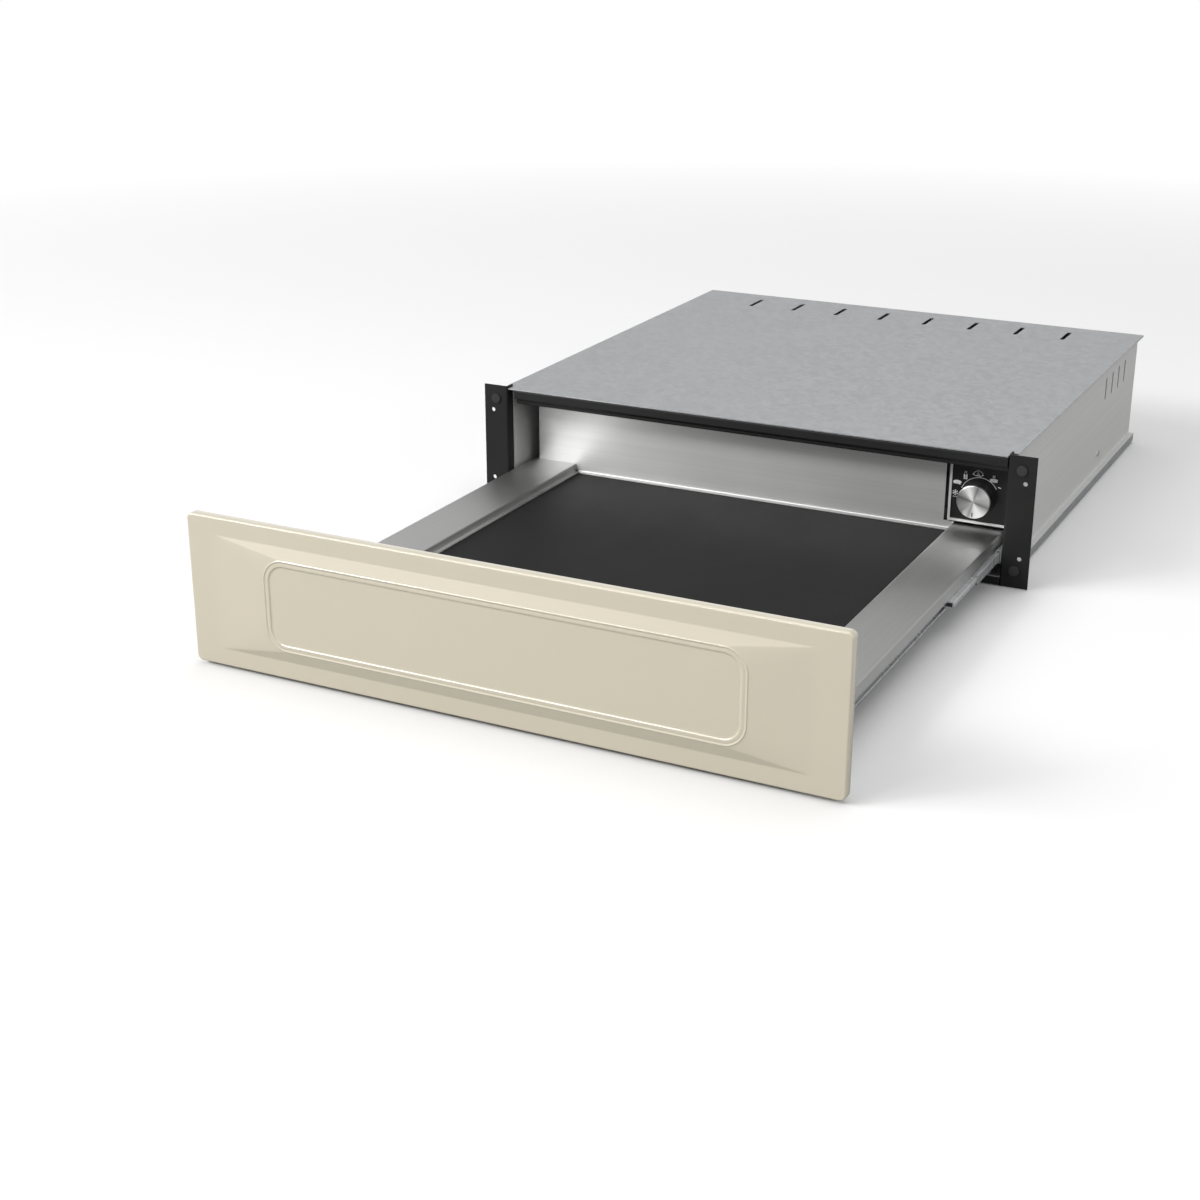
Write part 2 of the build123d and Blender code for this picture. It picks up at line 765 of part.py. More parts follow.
def make_drawer_rivets():
    return both_sides(rivet_row(rail_inner - steel, -1, rail_outer + slide_sheet, slide_open_y))


def make_carcass_rivets():
    """Runner rivets, and the two flat screws at the front corners of the base."""
    screw = rod_z(corner_screw_x, corner_screw_y, corner_screw_head, pan_top, pan_top + corner_screw_height)
    screw += rod_z(corner_screw_x, corner_screw_y, screw_radius, pan_top - steel, pan_top)
    return both_sides(rivet_row(side_inner + steel, 1, side_inner - slide_sheet, slide_y) + screw)


# ---- carcass ----
def make_side_plate():
    """Carcass side, folded outwards at the top and bottom."""
    path = [(body_half_width, pan_top), (side_inner, pan_top), (side_inner, lid_under),
            (body_half_width, lid_under)]
    plate = along_y(folded(path[::-1], steel), carcass_side_y, rear_wall_y)
    for place in slide_rivets:
        plate -= rivet_x(slide_y + place, slide_centre, rivet_radius, side_inner, side_inner + steel)
    for step in range(side_slots):
        y = rear_wall_y - side_slot_back - side_slot_pitch * step
        slot = Pos(y, body_height - side_slot_drop) * air_slot(side_slot, 90)
        plate -= along_x(slot, side_inner, side_inner + steel)
    return plate


def make_base_pan():
    """Bottom of the carcass: folded skirts, three long beads and a tongue at the front."""
    skirt = pan_top - steel - pan_skirt
    pan = block(-body_half_width, body_half_width, carcass_side_y, rear_wall_y, skirt, pan_top)
    pan -= block(-body_half_width + steel, body_half_width - steel, carcass_side_y, rear_wall_y - steel,
                 skirt, pan_top - steel)
    pan += block(-flange_inner, flange_inner, carcass_y, carcass_side_y, pan_top - steel, pan_top)
    length = rear_wall_y - carcass_side_y - 2 * base_bead_end
    outer = SlotOverall(length, base_bead_width, rotation=90)
    inner = SlotOverall(length - 2 * steel, base_bead_width - 2 * steel, rotation=90)
    for x in spread(3, base_bead_spacing):
        middle = Pos(x, (carcass_side_y + rear_wall_y) / 2, pan_top)
        pan += extrude(middle * outer, amount=base_bead_rise)
        pan -= extrude(middle * inner, amount=base_bead_rise - steel)
        pan -= extrude(middle * inner, amount=-steel)
    for x in (-corner_screw_x, corner_screw_x):
        pan -= rod_z(x, corner_screw_y, screw_radius, pan_top - steel, pan_top)
    return pan


def make_base_feet():
    group = Part()
    for x in (foot_side - body_half_width, body_half_width - foot_side):
        for y in (carcass_side_y + foot_front, rear_wall_y - foot_back):
            pad = rod_z(x, y, foot_radius, 0, pan_top - steel)
            group += chamfer(pad.faces().sort_by(Axis.Z)[0].edges(), foot_chamfer)
    return group


def make_rear_wall():
    """Rear wall, folded forwards at the top and bottom, with air slots and the cable hole."""
    path = [(rear_wall_y - rear_fold, lid_under), (rear_wall_y, lid_under), (rear_wall_y, pan_top),
            (rear_wall_y - rear_fold, pan_top)]
    wall = along_x(folded(path[::-1], steel), -side_inner, side_inner)
    for step in range(rear_slots):
        place = Pos(rear_slot_start + rear_slot_pitch * step, body_height - rear_slot_drop)
        wall -= along_y(place * air_slot(rear_slot, 90), rear_wall_y - steel, rear_wall_y)
    return wall - rod_y(gland_x, gland_z, gland_radius, rear_wall_y - steel, rear_wall_y)


def make_top_cover():
    """Lid of the carcass with a row of air slots near the back."""
    lid = block(-body_half_width, body_half_width, carcass_side_y, rear_wall_y, lid_under, body_height)
    lid += block(-side_inner, side_inner, carcass_y, carcass_side_y, lid_under, body_height)
    for x in spread(lid_slots, lid_slot_pitch):
        place = Pos(x, rear_wall_y - lid_slot_back, lid_under)
        lid -= extrude(place * air_slot(lid_slot, 90), amount=steel)
    return lid


def make_top_front_rail():
    """Black rail across the top of the opening, with a stepped lower lip."""
    path = [(carcass_y + rail_head, lid_under), (carcass_y, lid_under), (carcass_y, rail_step_z),
            (carcass_y + rail_step, rail_step_z), (carcass_y + rail_step, rail_low),
            (carcass_y + rail_depth, rail_low), (carcass_y + rail_depth, rail_low + rail_upturn)]
    return along_x(folded(path, trim_sheet, rail_bend), rail_left, side_inner)


def make_front_flange():
    """Black steel flange beside the opening, with the screw holes for the niche."""
    path = [(flange_inner, carcass_side_y), (flange_inner, carcass_y), (flange_outer, carcass_y)]
    outline = folded(path, trim_sheet, trim_bend)
    plate = Pos(0, 0, flange_low) * extrude(outline, amount=flange_high - flange_low)
    for z in fixing_heights:
        plate -= rod_y(fixing_x, z, fixing_hole, carcass_y, carcass_y + trim_sheet)
    for z in bumper_heights:
        plate -= rod_y(bumper_x, z, bumper_stem, carcass_y, carcass_y + trim_sheet)
    return plate


def make_front_bumpers():
    """Rubber buttons that the closed front meets."""
    group = Part()
    for z in bumper_heights:
        group += rod_y(bumper_x, z, bumper_radius, carcass_y - closing_gap + running_gap, carcass_y)
        group += rod_y(bumper_x, z, bumper_stem, carcass_y, carcass_y + trim_sheet + bumper_tail)
    return both_sides(group)


def make_bottom_front_trim():
    """Black angle under the opening, in front of the base pan's tongue."""
    path = [(carcass_y, pan_top - steel), (carcass_y, flange_low), (carcass_y + trim_depth, flange_low)]
    return along_x(folded(path, trim_sheet, trim_bend), -flange_inner, flange_inner)


# ---- control box ----
def make_control_housing():
    """Sheet box behind the fascia, riveted to the carcass side."""
    far = box_y + box_depth
    box = block(box_left, side_inner, fascia_back, far, box_bottom, box_top)
    return box - block(box_left + steel, side_inner - steel, fascia_back, far - steel,
                       box_bottom + steel, box_top - steel)


def lens_block(inset, near, far):
    half = lens_width / 2 - inset
    return block(lens_x - half, lens_x + half, near, far, lens_z - lens_height / 2, lens_z + lens_height / 2)


def make_control_fascia():
    """Black front of the control box, with the spindle hole and the lamp window."""
    plate = block(box_left + bezel_width, side_inner, box_y, fascia_back, box_bottom + bezel_width, box_top)
    plate -= rod_y(knob_x, knob_z, spindle_radius + neck_wall, box_y, fascia_back)
    return plate - lens_block(0, box_y, fascia_back)


def make_control_bezel():
    """Stainless angle along the fascia's left and lower edges."""
    near = box_y - bezel_proud
    upright = block(box_left, box_left + bezel_width, near, fascia_back, box_bottom, box_top)
    foot = block(box_left, side_inner, near, fascia_back, box_bottom, box_bottom + bezel_width)
    return upright + foot


def make_indicator_lens():
    window = lens_block(0, box_y - lens_proud, fascia_back)
    return window + lens_block(lamp_inset, fascia_back, fascia_back + lamp_depth)


def make_thermostat():
    """Thermostat body with its neck in the fascia and two tabs at the back."""
    far = fascia_back + thermostat_depth
    body = rod_y(knob_x, knob_z, thermostat_radius, fascia_back, far)
    body += rod_y(knob_x, knob_z, spindle_radius + neck_wall, box_y, fascia_back)
    half = thermostat_tab / 2
    for side in sides.values():
        x = knob_x + side * thermostat_tab_x
        body += block(x - half, x + half, far, far + thermostat_tab_length,
                      knob_z - thermostat_tab_sheet / 2, knob_z + thermostat_tab_sheet / 2)
    return body - rod_y(knob_x, knob_z, spindle_radius + running_gap, box_y, fascia_back + thermostat_bore)


def make_knob_skirt():
    """Black body of the knob, slightly wider at its foot and hollow behind."""
    foot = knob_radius + knob_skirt_flare
    profile = make_face(Polyline((0, 0), (foot, 0), (foot, knob_foot), (knob_radius, knob_waist),
                                 (knob_radius, knob_length), (0, knob_length), close=True))
    body = Pos(knob_x, knob_foot_y, knob_z) * Rot(180, 0, 0) * revolve(profile, axis=Axis.Y)
    hollow = rod_y(knob_x, knob_z, knob_radius - knob_wall, knob_foot_y - knob_hollow, knob_foot_y)
    hollow -= rod_y(knob_x, knob_z, knob_boss, knob_foot_y - knob_hollow, knob_foot_y)
    bore = rod_y(knob_x, knob_z, spindle_radius, knob_foot_y - knob_length + spindle_end, knob_foot_y)
    return body - hollow - bore


def make_knob_cap():
    """Turned aluminium face of the knob, with a rounded edge and the pointer's notch."""
    cap = rod_y(knob_x, knob_z, knob_radius, knob_face_y, knob_face_y + cap_thickness)
    cap = fillet(cap.faces().sort_by(Axis.Y)[0].edges(), cap_round)
    low = knob_z - knob_radius + notch_inset
    return cap - block(knob_x - notch_width / 2, knob_x + notch_width / 2, knob_face_y - notch_depth,
                       knob_face_y + notch_depth, low, low + notch_length)


def make_knob_spindle():
    """Thermostat's spindle, with a flat where the knob grips it."""
    near = knob_foot_y - knob_length + spindle_end
    spindle = rod_y(knob_x, knob_z, spindle_radius, near, fascia_back + thermostat_bore - 2 * steel)
    return spindle - block(knob_x - spindle_radius, knob_x + spindle_radius, near, knob_foot_y,
                           knob_z + spindle_radius - spindle_flat, knob_z + spindle_radius)


# ---- push latch, cable entry ----
def make_push_latch():
    """Latch body on the rear wall, with a bore for its plunger."""
    half = latch_width / 2
    body = block(-half, half, latch_front_y, rear_wall_y - steel,
                 latch_z - latch_height / 2, latch_z + latch_height / 2)
    body = fillet(body.edges().filter_by(Axis.Y), latch_corner)
    return body - rod_y(0, latch_z, plunger_radius + running_gap, latch_front_y, latch_back_y)


def make_latch_plunger():
    pin = rod_y(0, latch_z, plunger_radius, plunger_tip_y, latch_back_y - running_gap - latch_stroke)
    return fillet(pin.faces().sort_by(Axis.Y)[0].edges(), plunger_round)


def make_cable_gland():
    """Gland of the mains lead in the rear wall: neck, flange and lock nut."""
    inside = rear_wall_y - steel
    gland = rod_y(gland_x, gland_z, gland_radius, inside - gland_tail, rear_wall_y)
    gland += hexagon_y(gland_x, gland_z, gland_flats, rear_wall_y, rear_wall_y + gland_flange)
    gland += rod_y(gland_x, gland_z, gland_radius, rear_wall_y + gland_flange, rear_y)
    gland += hexagon_y(gland_x, gland_z, gland_flats, inside - gland_nut, inside)
    return gland - rod_y(gland_x, gland_z, gland_bore, inside - gland_tail, rear_y)


def make_terminal_block():
    """Mains terminals on the rear wall, beside the cable gland."""
    x0 = gland_x + terminal_gap
    far = rear_wall_y - steel
    near = far - terminal_depth
    body = block(x0, x0 + terminal_width, near, far, gland_z - terminal_height / 2,
                 gland_z + terminal_height / 2)
    for x in spread(terminal_ways, terminal_pitch, x0 + terminal_width / 2):
        body -= rod_y(x, gland_z + terminal_screw_rise, terminal_screw, near, near + terminal_screw_depth)
    return body


# ---- write one file per piece ----
def all_parts():
    parts = {
        "front_panel": make_front_panel(),
        "front_backplate": make_front_backplate(),
        "front_crossmember": make_front_crossmember(),
        "front_screws": make_front_screws(),
        "tray_front_strip": make_tray_front_strip(),
        "tray_pan": make_tray_pan(),
        "insulation_mat": make_insulation_mat(),
        "heating_element": make_heating_element(),
        "element_clips": make_element_clips(),
        "element_bushes": make_element_bushes(),
        "thermal_cutout": make_thermal_cutout(),
        "glass_support": make_glass_support(),
        "glass_gasket": make_glass_gasket(),
        "glass_plate": make_glass_plate(),
        "back_wall": make_back_wall(),
        "rear_crossmember": make_rear_crossmember(),
        "latch_striker": make_latch_striker(),
        "drawer_rivets": make_drawer_rivets(),
        "base_pan": make_base_pan(),
        "base_feet": make_base_feet(),
        "rear_wall": make_rear_wall(),
        "top_cover": make_top_cover(),
        "top_front_rail": make_top_front_rail(),
        "bottom_front_trim": make_bottom_front_trim(),
        "front_bumpers": make_front_bumpers(),
        "carcass_rivets": make_carcass_rivets(),
        "control_housing": make_control_housing(),
        "control_fascia": make_control_fascia(),
        "control_bezel": make_control_bezel(),
        "indicator_lens": make_indicator_lens(),
        "thermostat": make_thermostat(),
        "knob_skirt": make_knob_skirt(),
        "knob_cap": make_knob_cap(),
        "knob_spindle": make_knob_spindle(),
        "push_latch": make_push_latch(),
        "latch_plunger": make_latch_plunger(),
        "cable_gland": make_cable_gland(),
        "terminal_block": make_terminal_block(),
    }
    paired = {
        "side_cover": make_side_cover(),
        "side_rail": make_side_rail(),
        "runner_drawer": slide_channel_member(rail_outer, 1, slide_open_y),
        "runner_middle": make_runner_middle(),
        "ball_cage": make_ball_cage(),
        "runner_fixed": slide_channel_member(side_inner, -1, slide_y),
        "side_plate": make_side_plate(),
        "front_flange": make_front_flange(),
    }
    for name, shape in paired.items():
        for side in sides:
            parts[f"{name}_{side}"] = on_side(shape, side)
    return parts


if __name__ == "__main__":
    os.makedirs("parts", exist_ok=True)
    for name, shape in all_parts().items():
        export_step(shape, f"parts/{name}.step")
        print(name, round(shape.volume))
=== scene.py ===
import math

import bmesh
import bpy
from mathutils import Euler, Matrix, Vector


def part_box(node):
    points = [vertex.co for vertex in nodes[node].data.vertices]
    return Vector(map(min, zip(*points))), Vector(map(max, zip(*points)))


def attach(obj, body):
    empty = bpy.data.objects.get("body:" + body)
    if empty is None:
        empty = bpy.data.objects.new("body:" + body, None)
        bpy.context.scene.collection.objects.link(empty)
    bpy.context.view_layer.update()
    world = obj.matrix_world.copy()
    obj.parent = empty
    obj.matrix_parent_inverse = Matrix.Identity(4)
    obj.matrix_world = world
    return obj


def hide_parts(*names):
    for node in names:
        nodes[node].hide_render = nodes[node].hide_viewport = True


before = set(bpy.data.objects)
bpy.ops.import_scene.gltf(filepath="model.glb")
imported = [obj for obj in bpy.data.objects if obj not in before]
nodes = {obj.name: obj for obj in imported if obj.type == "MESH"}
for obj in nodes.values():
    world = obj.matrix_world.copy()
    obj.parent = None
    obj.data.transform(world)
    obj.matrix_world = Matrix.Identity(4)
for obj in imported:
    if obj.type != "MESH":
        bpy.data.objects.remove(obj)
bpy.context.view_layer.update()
mm = 0.001
print("frame loaded:", len(nodes), "nodes")


view = {
    "lensMm": 57.48,
    "sensorMm": 36.0,
    "right": 0.712,          # from the drawer's middle
    "ahead": 1.210,          # in front of the enamelled face
    "high": 0.657,
    "turnLeft": 27.03,       # degrees, seen from above
    "tiltDown": 21.28,
    "floorColour": (0.80, 0.80, 0.80),
    "floorBounce": (0.34, 0.34, 0.34),   # what it gives back to the drawer
    "floorSize": 60.0,
    "floorRough": 0.85,
    "floorDrop": 0.4 * mm,   # under the feet, so that no faces coincide
    "fadeFrom": 0.9,         # metres from the drawer's middle
    "fadeTo": 2.6,
}
lamps = {
    "keySoftbox": {"place": (-4.0, -3.0, 2.9), "aim": (0.0, -0.4, 0.05), "size": (2.8, 2.4),
                   "watts": 190.0},
    "stripSoftbox": {"place": (-1.8, -3.2, 2.4), "aim": (0.0, -0.5, 0.07), "size": (2.2, 0.7),
                     "watts": 58.0},
    "fillSoftbox": {"place": (2.5, -0.9, 1.1), "aim": (0.2, -0.3, 0.05), "size": (1.2, 1.4),
                    "watts": 16.0},
    "overheadSoftbox": {"place": (0.1, 0.4, 2.3), "aim": (0.0, -0.1, 0.05), "size": (2.6, 2.0),
                        "watts": 20.0},
}


def addCamera():
    data = bpy.data.cameras.new("photoCamera")
    data.sensor_width = view["sensorMm"]
    data.lens = view["lensMm"]
    data.clip_start = 0.01
    data.clip_end = 200.0
    camera = bpy.data.objects.new("photoCamera", data)
    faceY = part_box("front_panel")[1].y - frontLook["rimDepth"]
    camera.location = (view["right"], faceY - view["ahead"], view["high"])
    camera.rotation_euler = Euler((math.radians(90.0 - view["tiltDown"]), 0.0,
                                   math.radians(view["turnLeft"])))
    bpy.context.scene.collection.objects.link(camera)
    bpy.context.scene.camera = camera


def addLamps():
    for name, look in lamps.items():
        data = bpy.data.lights.new(name, "AREA")
        data.shape = "RECTANGLE"
        data.size, data.size_y = look["size"]
        data.energy = look["watts"]
        lamp = bpy.data.objects.new(name, data)
        lamp.location = look["place"]
        towards = Vector(look["aim"]) - Vector(look["place"])
        lamp.rotation_euler = towards.to_track_quat("-Z", "Y").to_euler()
        bpy.context.scene.collection.objects.link(lamp)


def addNode(tree, kind, values=None, **settings):
    node = tree.nodes.new(kind)
    for key, value in settings.items():
        setattr(node, key, value)
    for key, value in (values or {}).items():
        node.inputs[key].default_value = value
    return node


def grey(value):
    return (value, value, value)


def rampNode(tree, stops):
    # stops are (place, grey level)
    node = tree.nodes.new("ShaderNodeValToRGB")
    node.color_ramp.interpolation = "EASE"
    elements = node.color_ramp.elements
    while len(elements) < len(stops):
        elements.new(0.5)
    for element, (place, level) in zip(elements, stops):
        element.position = place
        element.color = (*grey(level), 1.0)
    return node


def newGroup(name, inputs, outputs):
    tree = bpy.data.node_groups.new(name, "ShaderNodeTree")
    for label, kind, value in inputs:
        socket = tree.interface.new_socket(label, in_out="INPUT", socket_type=kind)
        if value is not None:
            socket.default_value = value
    for label, kind in outputs:
        tree.interface.new_socket(label, in_out="OUTPUT", socket_type=kind)
    return tree, tree.nodes.new("NodeGroupInput"), tree.nodes.new("NodeGroupOutput")


def useGroup(tree, coords, group, **values):
    node = addNode(tree, "ShaderNodeGroup", node_tree=group)
    for key, value in values.items():
        node.inputs[key].default_value = value
    tree.links.new(coords, node.inputs["Vector"])
    return node


def newMaterial(name, **values):
    material = bpy.data.materials.new(name)
    material.use_nodes = True
    tree = material.node_tree
    shader = tree.nodes["Principled BSDF"]
    for key, value in values.items():
        shader.inputs[key.replace("_", " ")].default_value = value
    coords = tree.nodes.new("ShaderNodeTexCoord")
    return material, tree, shader, coords.outputs["Object"]


def mixColour(tree, mask, dark, light):
    node = addNode(tree, "ShaderNodeMix", data_type="RGBA")
    node.inputs[6].default_value = (*dark, 1.0)
    node.inputs[7].default_value = (*light, 1.0)
    tree.links.new(mask, node.inputs[0])
    return node.outputs[2]


def mapRange(tree, value, low, high, fromLow=0.0, fromHigh=1.0):
    node = addNode(tree, "ShaderNodeMapRange")
    node.inputs["From Min"].default_value = fromLow
    node.inputs["From Max"].default_value = fromHigh
    node.inputs["To Min"].default_value = low
    node.inputs["To Max"].default_value = high
    tree.links.new(value, node.inputs["Value"])
    return node.outputs[0]


def bumpFrom(tree, shader, height, distance, strength=0.5):
    node = addNode(tree, "ShaderNodeBump", {"Strength": strength, "Distance": distance})
    tree.links.new(height, node.inputs["Height"])
    tree.links.new(node.outputs[0], shader.inputs["Normal"])


def mathNode(tree, operation, *values):
    node = addNode(tree, "ShaderNodeMath", operation=operation)
    for place, value in enumerate(values):
        if isinstance(value, (int, float)):
            node.inputs[place].default_value = value
        else:
            tree.links.new(value, node.inputs[place])
    return node.outputs[0]


def mixShaders(tree, mask, first, second):
    node = addNode(tree, "ShaderNodeMixShader")
    for place, output in enumerate((mask, first, second)):
        tree.links.new(output, node.inputs[place])
    return node.outputs[0]


def makeBrushedGrain():
    # long hairlines: noise stretched along one axis by the Scale vector
    tree, given, made = newGroup("brushedGrain", [
        ("Vector", "NodeSocketVector", None),
        ("Scale", "NodeSocketVector", (1.0, 1.0, 1.0)),
        ("Detail", "NodeSocketFloat", 4.0),
    ], [("Tone", "NodeSocketFloat"), ("Height", "NodeSocketFloat")])
    stretch = addNode(tree, "ShaderNodeVectorMath", operation="MULTIPLY")
    tree.links.new(given.outputs["Vector"], stretch.inputs[0])
    tree.links.new(given.outputs["Scale"], stretch.inputs[1])
    fine = addNode(tree, "ShaderNodeTexNoise", {"Scale": 1.0, "Roughness": 0.65})
    tree.links.new(stretch.outputs[0], fine.inputs["Vector"])
    tree.links.new(given.outputs["Detail"], fine.inputs["Detail"])
    broad = addNode(tree, "ShaderNodeTexNoise", {"Scale": 0.17, "Detail": 2.0})
    broadShare = 0.5
    tree.links.new(stretch.outputs[0], broad.inputs["Vector"])
    total = mathNode(tree, "ADD", mathNode(tree, "MULTIPLY", broad.outputs["Fac"], broadShare),
                     mathNode(tree, "MULTIPLY", fine.outputs["Fac"], 1.0 - broadShare))
    tree.links.new(total, made.inputs["Tone"])
    tree.links.new(fine.outputs["Fac"], made.inputs["Height"])
    return tree


def makeHandling():
    # faint clouds left by wiping and touching
    tree, given, made = newGroup("handling", [
        ("Vector", "NodeSocketVector", None),
        ("Size", "NodeSocketFloat", 6.0),
    ], [("Cloud", "NodeSocketFloat")])
    cloud = addNode(tree, "ShaderNodeTexNoise", {"Detail": 5.0, "Roughness": 0.55, "Distortion": 0.6})
    tree.links.new(given.outputs["Vector"], cloud.inputs["Vector"])
    tree.links.new(given.outputs["Size"], cloud.inputs["Scale"])
    ramp = rampNode(tree, [(0.35, 0.0), (0.75, 1.0)])
    tree.links.new(cloud.outputs["Fac"], ramp.inputs[0])
    tree.links.new(ramp.outputs[0], made.inputs["Cloud"])
    return tree


def makeOrangePeel():
    # soft ripple of a sprayed or fired coat
    tree, given, made = newGroup("orangePeel", [
        ("Vector", "NodeSocketVector", None),
        ("Scale", "NodeSocketFloat", 400.0),
    ], [("Height", "NodeSocketFloat")])
    ripple = addNode(tree, "ShaderNodeTexNoise", {"Detail": 1.5, "Roughness": 0.4})
    tree.links.new(given.outputs["Vector"], ripple.inputs["Vector"])
    tree.links.new(given.outputs["Scale"], ripple.inputs["Scale"])
    tree.links.new(ripple.outputs["Fac"], made.inputs["Height"])
    return tree


def makeSpangle():
    # zinc crystals: cells with their own tone and a fine grain over them
    warpReach = 6.0 * mm
    crystalShare = 0.7
    tree, given, made = newGroup("spangle", [
        ("Vector", "NodeSocketVector", None),
        ("Scale", "NodeSocketFloat", 90.0),
    ], [("Tone", "NodeSocketFloat"), ("Height", "NodeSocketFloat")])
    warp = addNode(tree, "ShaderNodeTexNoise", {"Scale": 60.0, "Detail": 3.0})
    tree.links.new(given.outputs["Vector"], warp.inputs["Vector"])
    shifted = addNode(tree, "ShaderNodeVectorMath", operation="MULTIPLY_ADD")
    tree.links.new(warp.outputs["Color"], shifted.inputs[0])
    shifted.inputs[1].default_value = (warpReach, warpReach, warpReach)
    tree.links.new(given.outputs["Vector"], shifted.inputs[2])
    cells = addNode(tree, "ShaderNodeTexVoronoi", feature="F1")
    tree.links.new(shifted.outputs[0], cells.inputs["Vector"])
    tree.links.new(given.outputs["Scale"], cells.inputs["Scale"])
    grain = addNode(tree, "ShaderNodeTexNoise", {"Scale": 900.0, "Detail": 4.0})
    tree.links.new(given.outputs["Vector"], grain.inputs["Vector"])
    tone = addNode(tree, "ShaderNodeSeparateColor")
    tree.links.new(cells.outputs["Color"], tone.inputs[0])
    mixed = mathNode(tree, "ADD", mathNode(tree, "MULTIPLY", tone.outputs[0], crystalShare),
                     mathNode(tree, "MULTIPLY", grain.outputs["Fac"], 1.0 - crystalShare))
    tree.links.new(mixed, made.inputs["Tone"])
    tree.links.new(grain.outputs["Fac"], made.inputs["Height"])
    return tree


def makePowder():
    # fine dry grain of powder coat, rubber and mouldings
    tree, given, made = newGroup("powderGrain", [
        ("Vector", "NodeSocketVector", None),
        ("Scale", "NodeSocketFloat", 1500.0),
    ], [("Height", "NodeSocketFloat"), ("Tone", "NodeSocketFloat")])
    grain = addNode(tree, "ShaderNodeTexNoise", {"Detail": 3.0, "Roughness": 0.6})
    tree.links.new(given.outputs["Vector"], grain.inputs["Vector"])
    tree.links.new(given.outputs["Scale"], grain.inputs["Scale"])
    drift = addNode(tree, "ShaderNodeTexNoise", {"Scale": 14.0, "Detail": 3.0})
    tree.links.new(given.outputs["Vector"], drift.inputs["Vector"])
    tree.links.new(grain.outputs["Fac"], made.inputs["Height"])
    tree.links.new(drift.outputs["Fac"], made.inputs["Tone"])
    return tree


brushedGrain = makeBrushedGrain()
handling = makeHandling()
orangePeel = makeOrangePeel()
spangle = makeSpangle()
powderGrain = makePowder()
print("surface effects made")


steelLook = {
    "dark": (0.56, 0.56, 0.555),
    "light": (0.74, 0.74, 0.732),
    "roughLow": 0.40,
    "roughHigh": 0.52,
    "along": 6.0,            # grain per metre along the brushing
    "across": 2600.0,        # and across it
    "lean": (0.03, 0.03, 0.02),   # keeps the brushing's direction off that of a face's normal
    "grainDetail": 5.0,
    "cloudSize": 5.0,
    "grainShare": 0.6,       # of the roughness; the rest is the clouds'
    "depth": 0.012 * mm,
}


def makeStainless(name, direction, metallic=1.0, anisotropic=0.8, shade=1.0):
    # direction 0 or 1: the brushing runs along X or Y, and light spreads across it
    material, tree, shader, coords = newMaterial(name, Metallic=metallic, Anisotropic=anisotropic,
                                                 Anisotropic_Rotation=0.25)
    tangent = addNode(tree, "ShaderNodeCombineXYZ", dict(zip("XYZ", steelLook["lean"])))
    tangent.inputs[direction].default_value = 1.0
    tree.links.new(tangent.outputs[0], shader.inputs["Tangent"])
    scale = [steelLook["across"]] * 3
    scale[direction] = steelLook["along"]
    grain = useGroup(tree, coords, brushedGrain, Scale=scale, Detail=steelLook["grainDetail"])
    cloud = useGroup(tree, coords, handling, Size=steelLook["cloudSize"])
    # a shade below 1 darkens both tones, which paints shade into the steel's colour
    dark, light = (tuple(shade * part for part in steelLook[tone]) for tone in ("dark", "light"))
    tree.links.new(mixColour(tree, grain.outputs["Tone"], dark, light), shader.inputs["Base Color"])
    share = steelLook["grainShare"]
    wear = mathNode(tree, "ADD", mathNode(tree, "MULTIPLY", grain.outputs["Tone"], share),
                    mathNode(tree, "MULTIPLY", cloud.outputs["Cloud"], 1.0 - share))
    tree.links.new(mapRange(tree, wear, steelLook["roughLow"], steelLook["roughHigh"]),
                   shader.inputs["Roughness"])
    bumpFrom(tree, shader, grain.outputs["Height"], steelLook["depth"], strength=0.6)
    return material


enamelLook = {
    "cream": (0.634, 0.584, 0.466),
    "shade": (0.614, 0.565, 0.449),
    "roughLow": 0.14,
    "roughHigh": 0.20,
    "peelScale": 170.0,
    "peelDepth": 0.02 * mm,
    "cloudSize": 7.0,
    "toneScale": 2400.0,
    "coat": 0.5,
    "coatRough": 0.05,
}


def makeEnamel():
    material, tree, shader, coords = newMaterial("creamEnamel", Coat_Weight=enamelLook["coat"],
                                                 Coat_Roughness=enamelLook["coatRough"])
    peel = useGroup(tree, coords, orangePeel, Scale=enamelLook["peelScale"])
    cloud = useGroup(tree, coords, handling, Size=enamelLook["cloudSize"])
    fine = useGroup(tree, coords, powderGrain, Scale=enamelLook["toneScale"])
    tree.links.new(mixColour(tree, fine.outputs["Tone"], enamelLook["shade"], enamelLook["cream"]),
                   shader.inputs["Base Color"])
    tree.links.new(mapRange(tree, cloud.outputs["Cloud"], enamelLook["roughLow"],
                            enamelLook["roughHigh"]), shader.inputs["Roughness"])
    bumpFrom(tree, shader, peel.outputs["Height"], enamelLook["peelDepth"])
    return material


glassLook = {
    "dark": grey(0.016),
    "light": grey(0.022),
    "roughLow": 0.44,
    "roughHigh": 0.52,
    "ior": 1.45,
    "specular": 0.05,
    "etchScale": 5200.0,
    "etchDepth": 0.006 * mm,
    "cloudSize": 4.0,
}


def makeBlackGlass():
    look = glassLook
    material, tree, shader, coords = newMaterial("satinBlackGlass", IOR=look["ior"],
                                                 Specular_IOR_Level=look["specular"])
    etch = useGroup(tree, coords, powderGrain, Scale=look["etchScale"])
    cloud = useGroup(tree, coords, handling, Size=look["cloudSize"])
    tree.links.new(mixColour(tree, etch.outputs["Tone"], look["dark"], look["light"]),
                   shader.inputs["Base Color"])
    tree.links.new(mapRange(tree, cloud.outputs["Cloud"], look["roughLow"], look["roughHigh"]),
                   shader.inputs["Roughness"])
    bumpFrom(tree, shader, etch.outputs["Height"], look["etchDepth"])
    return material


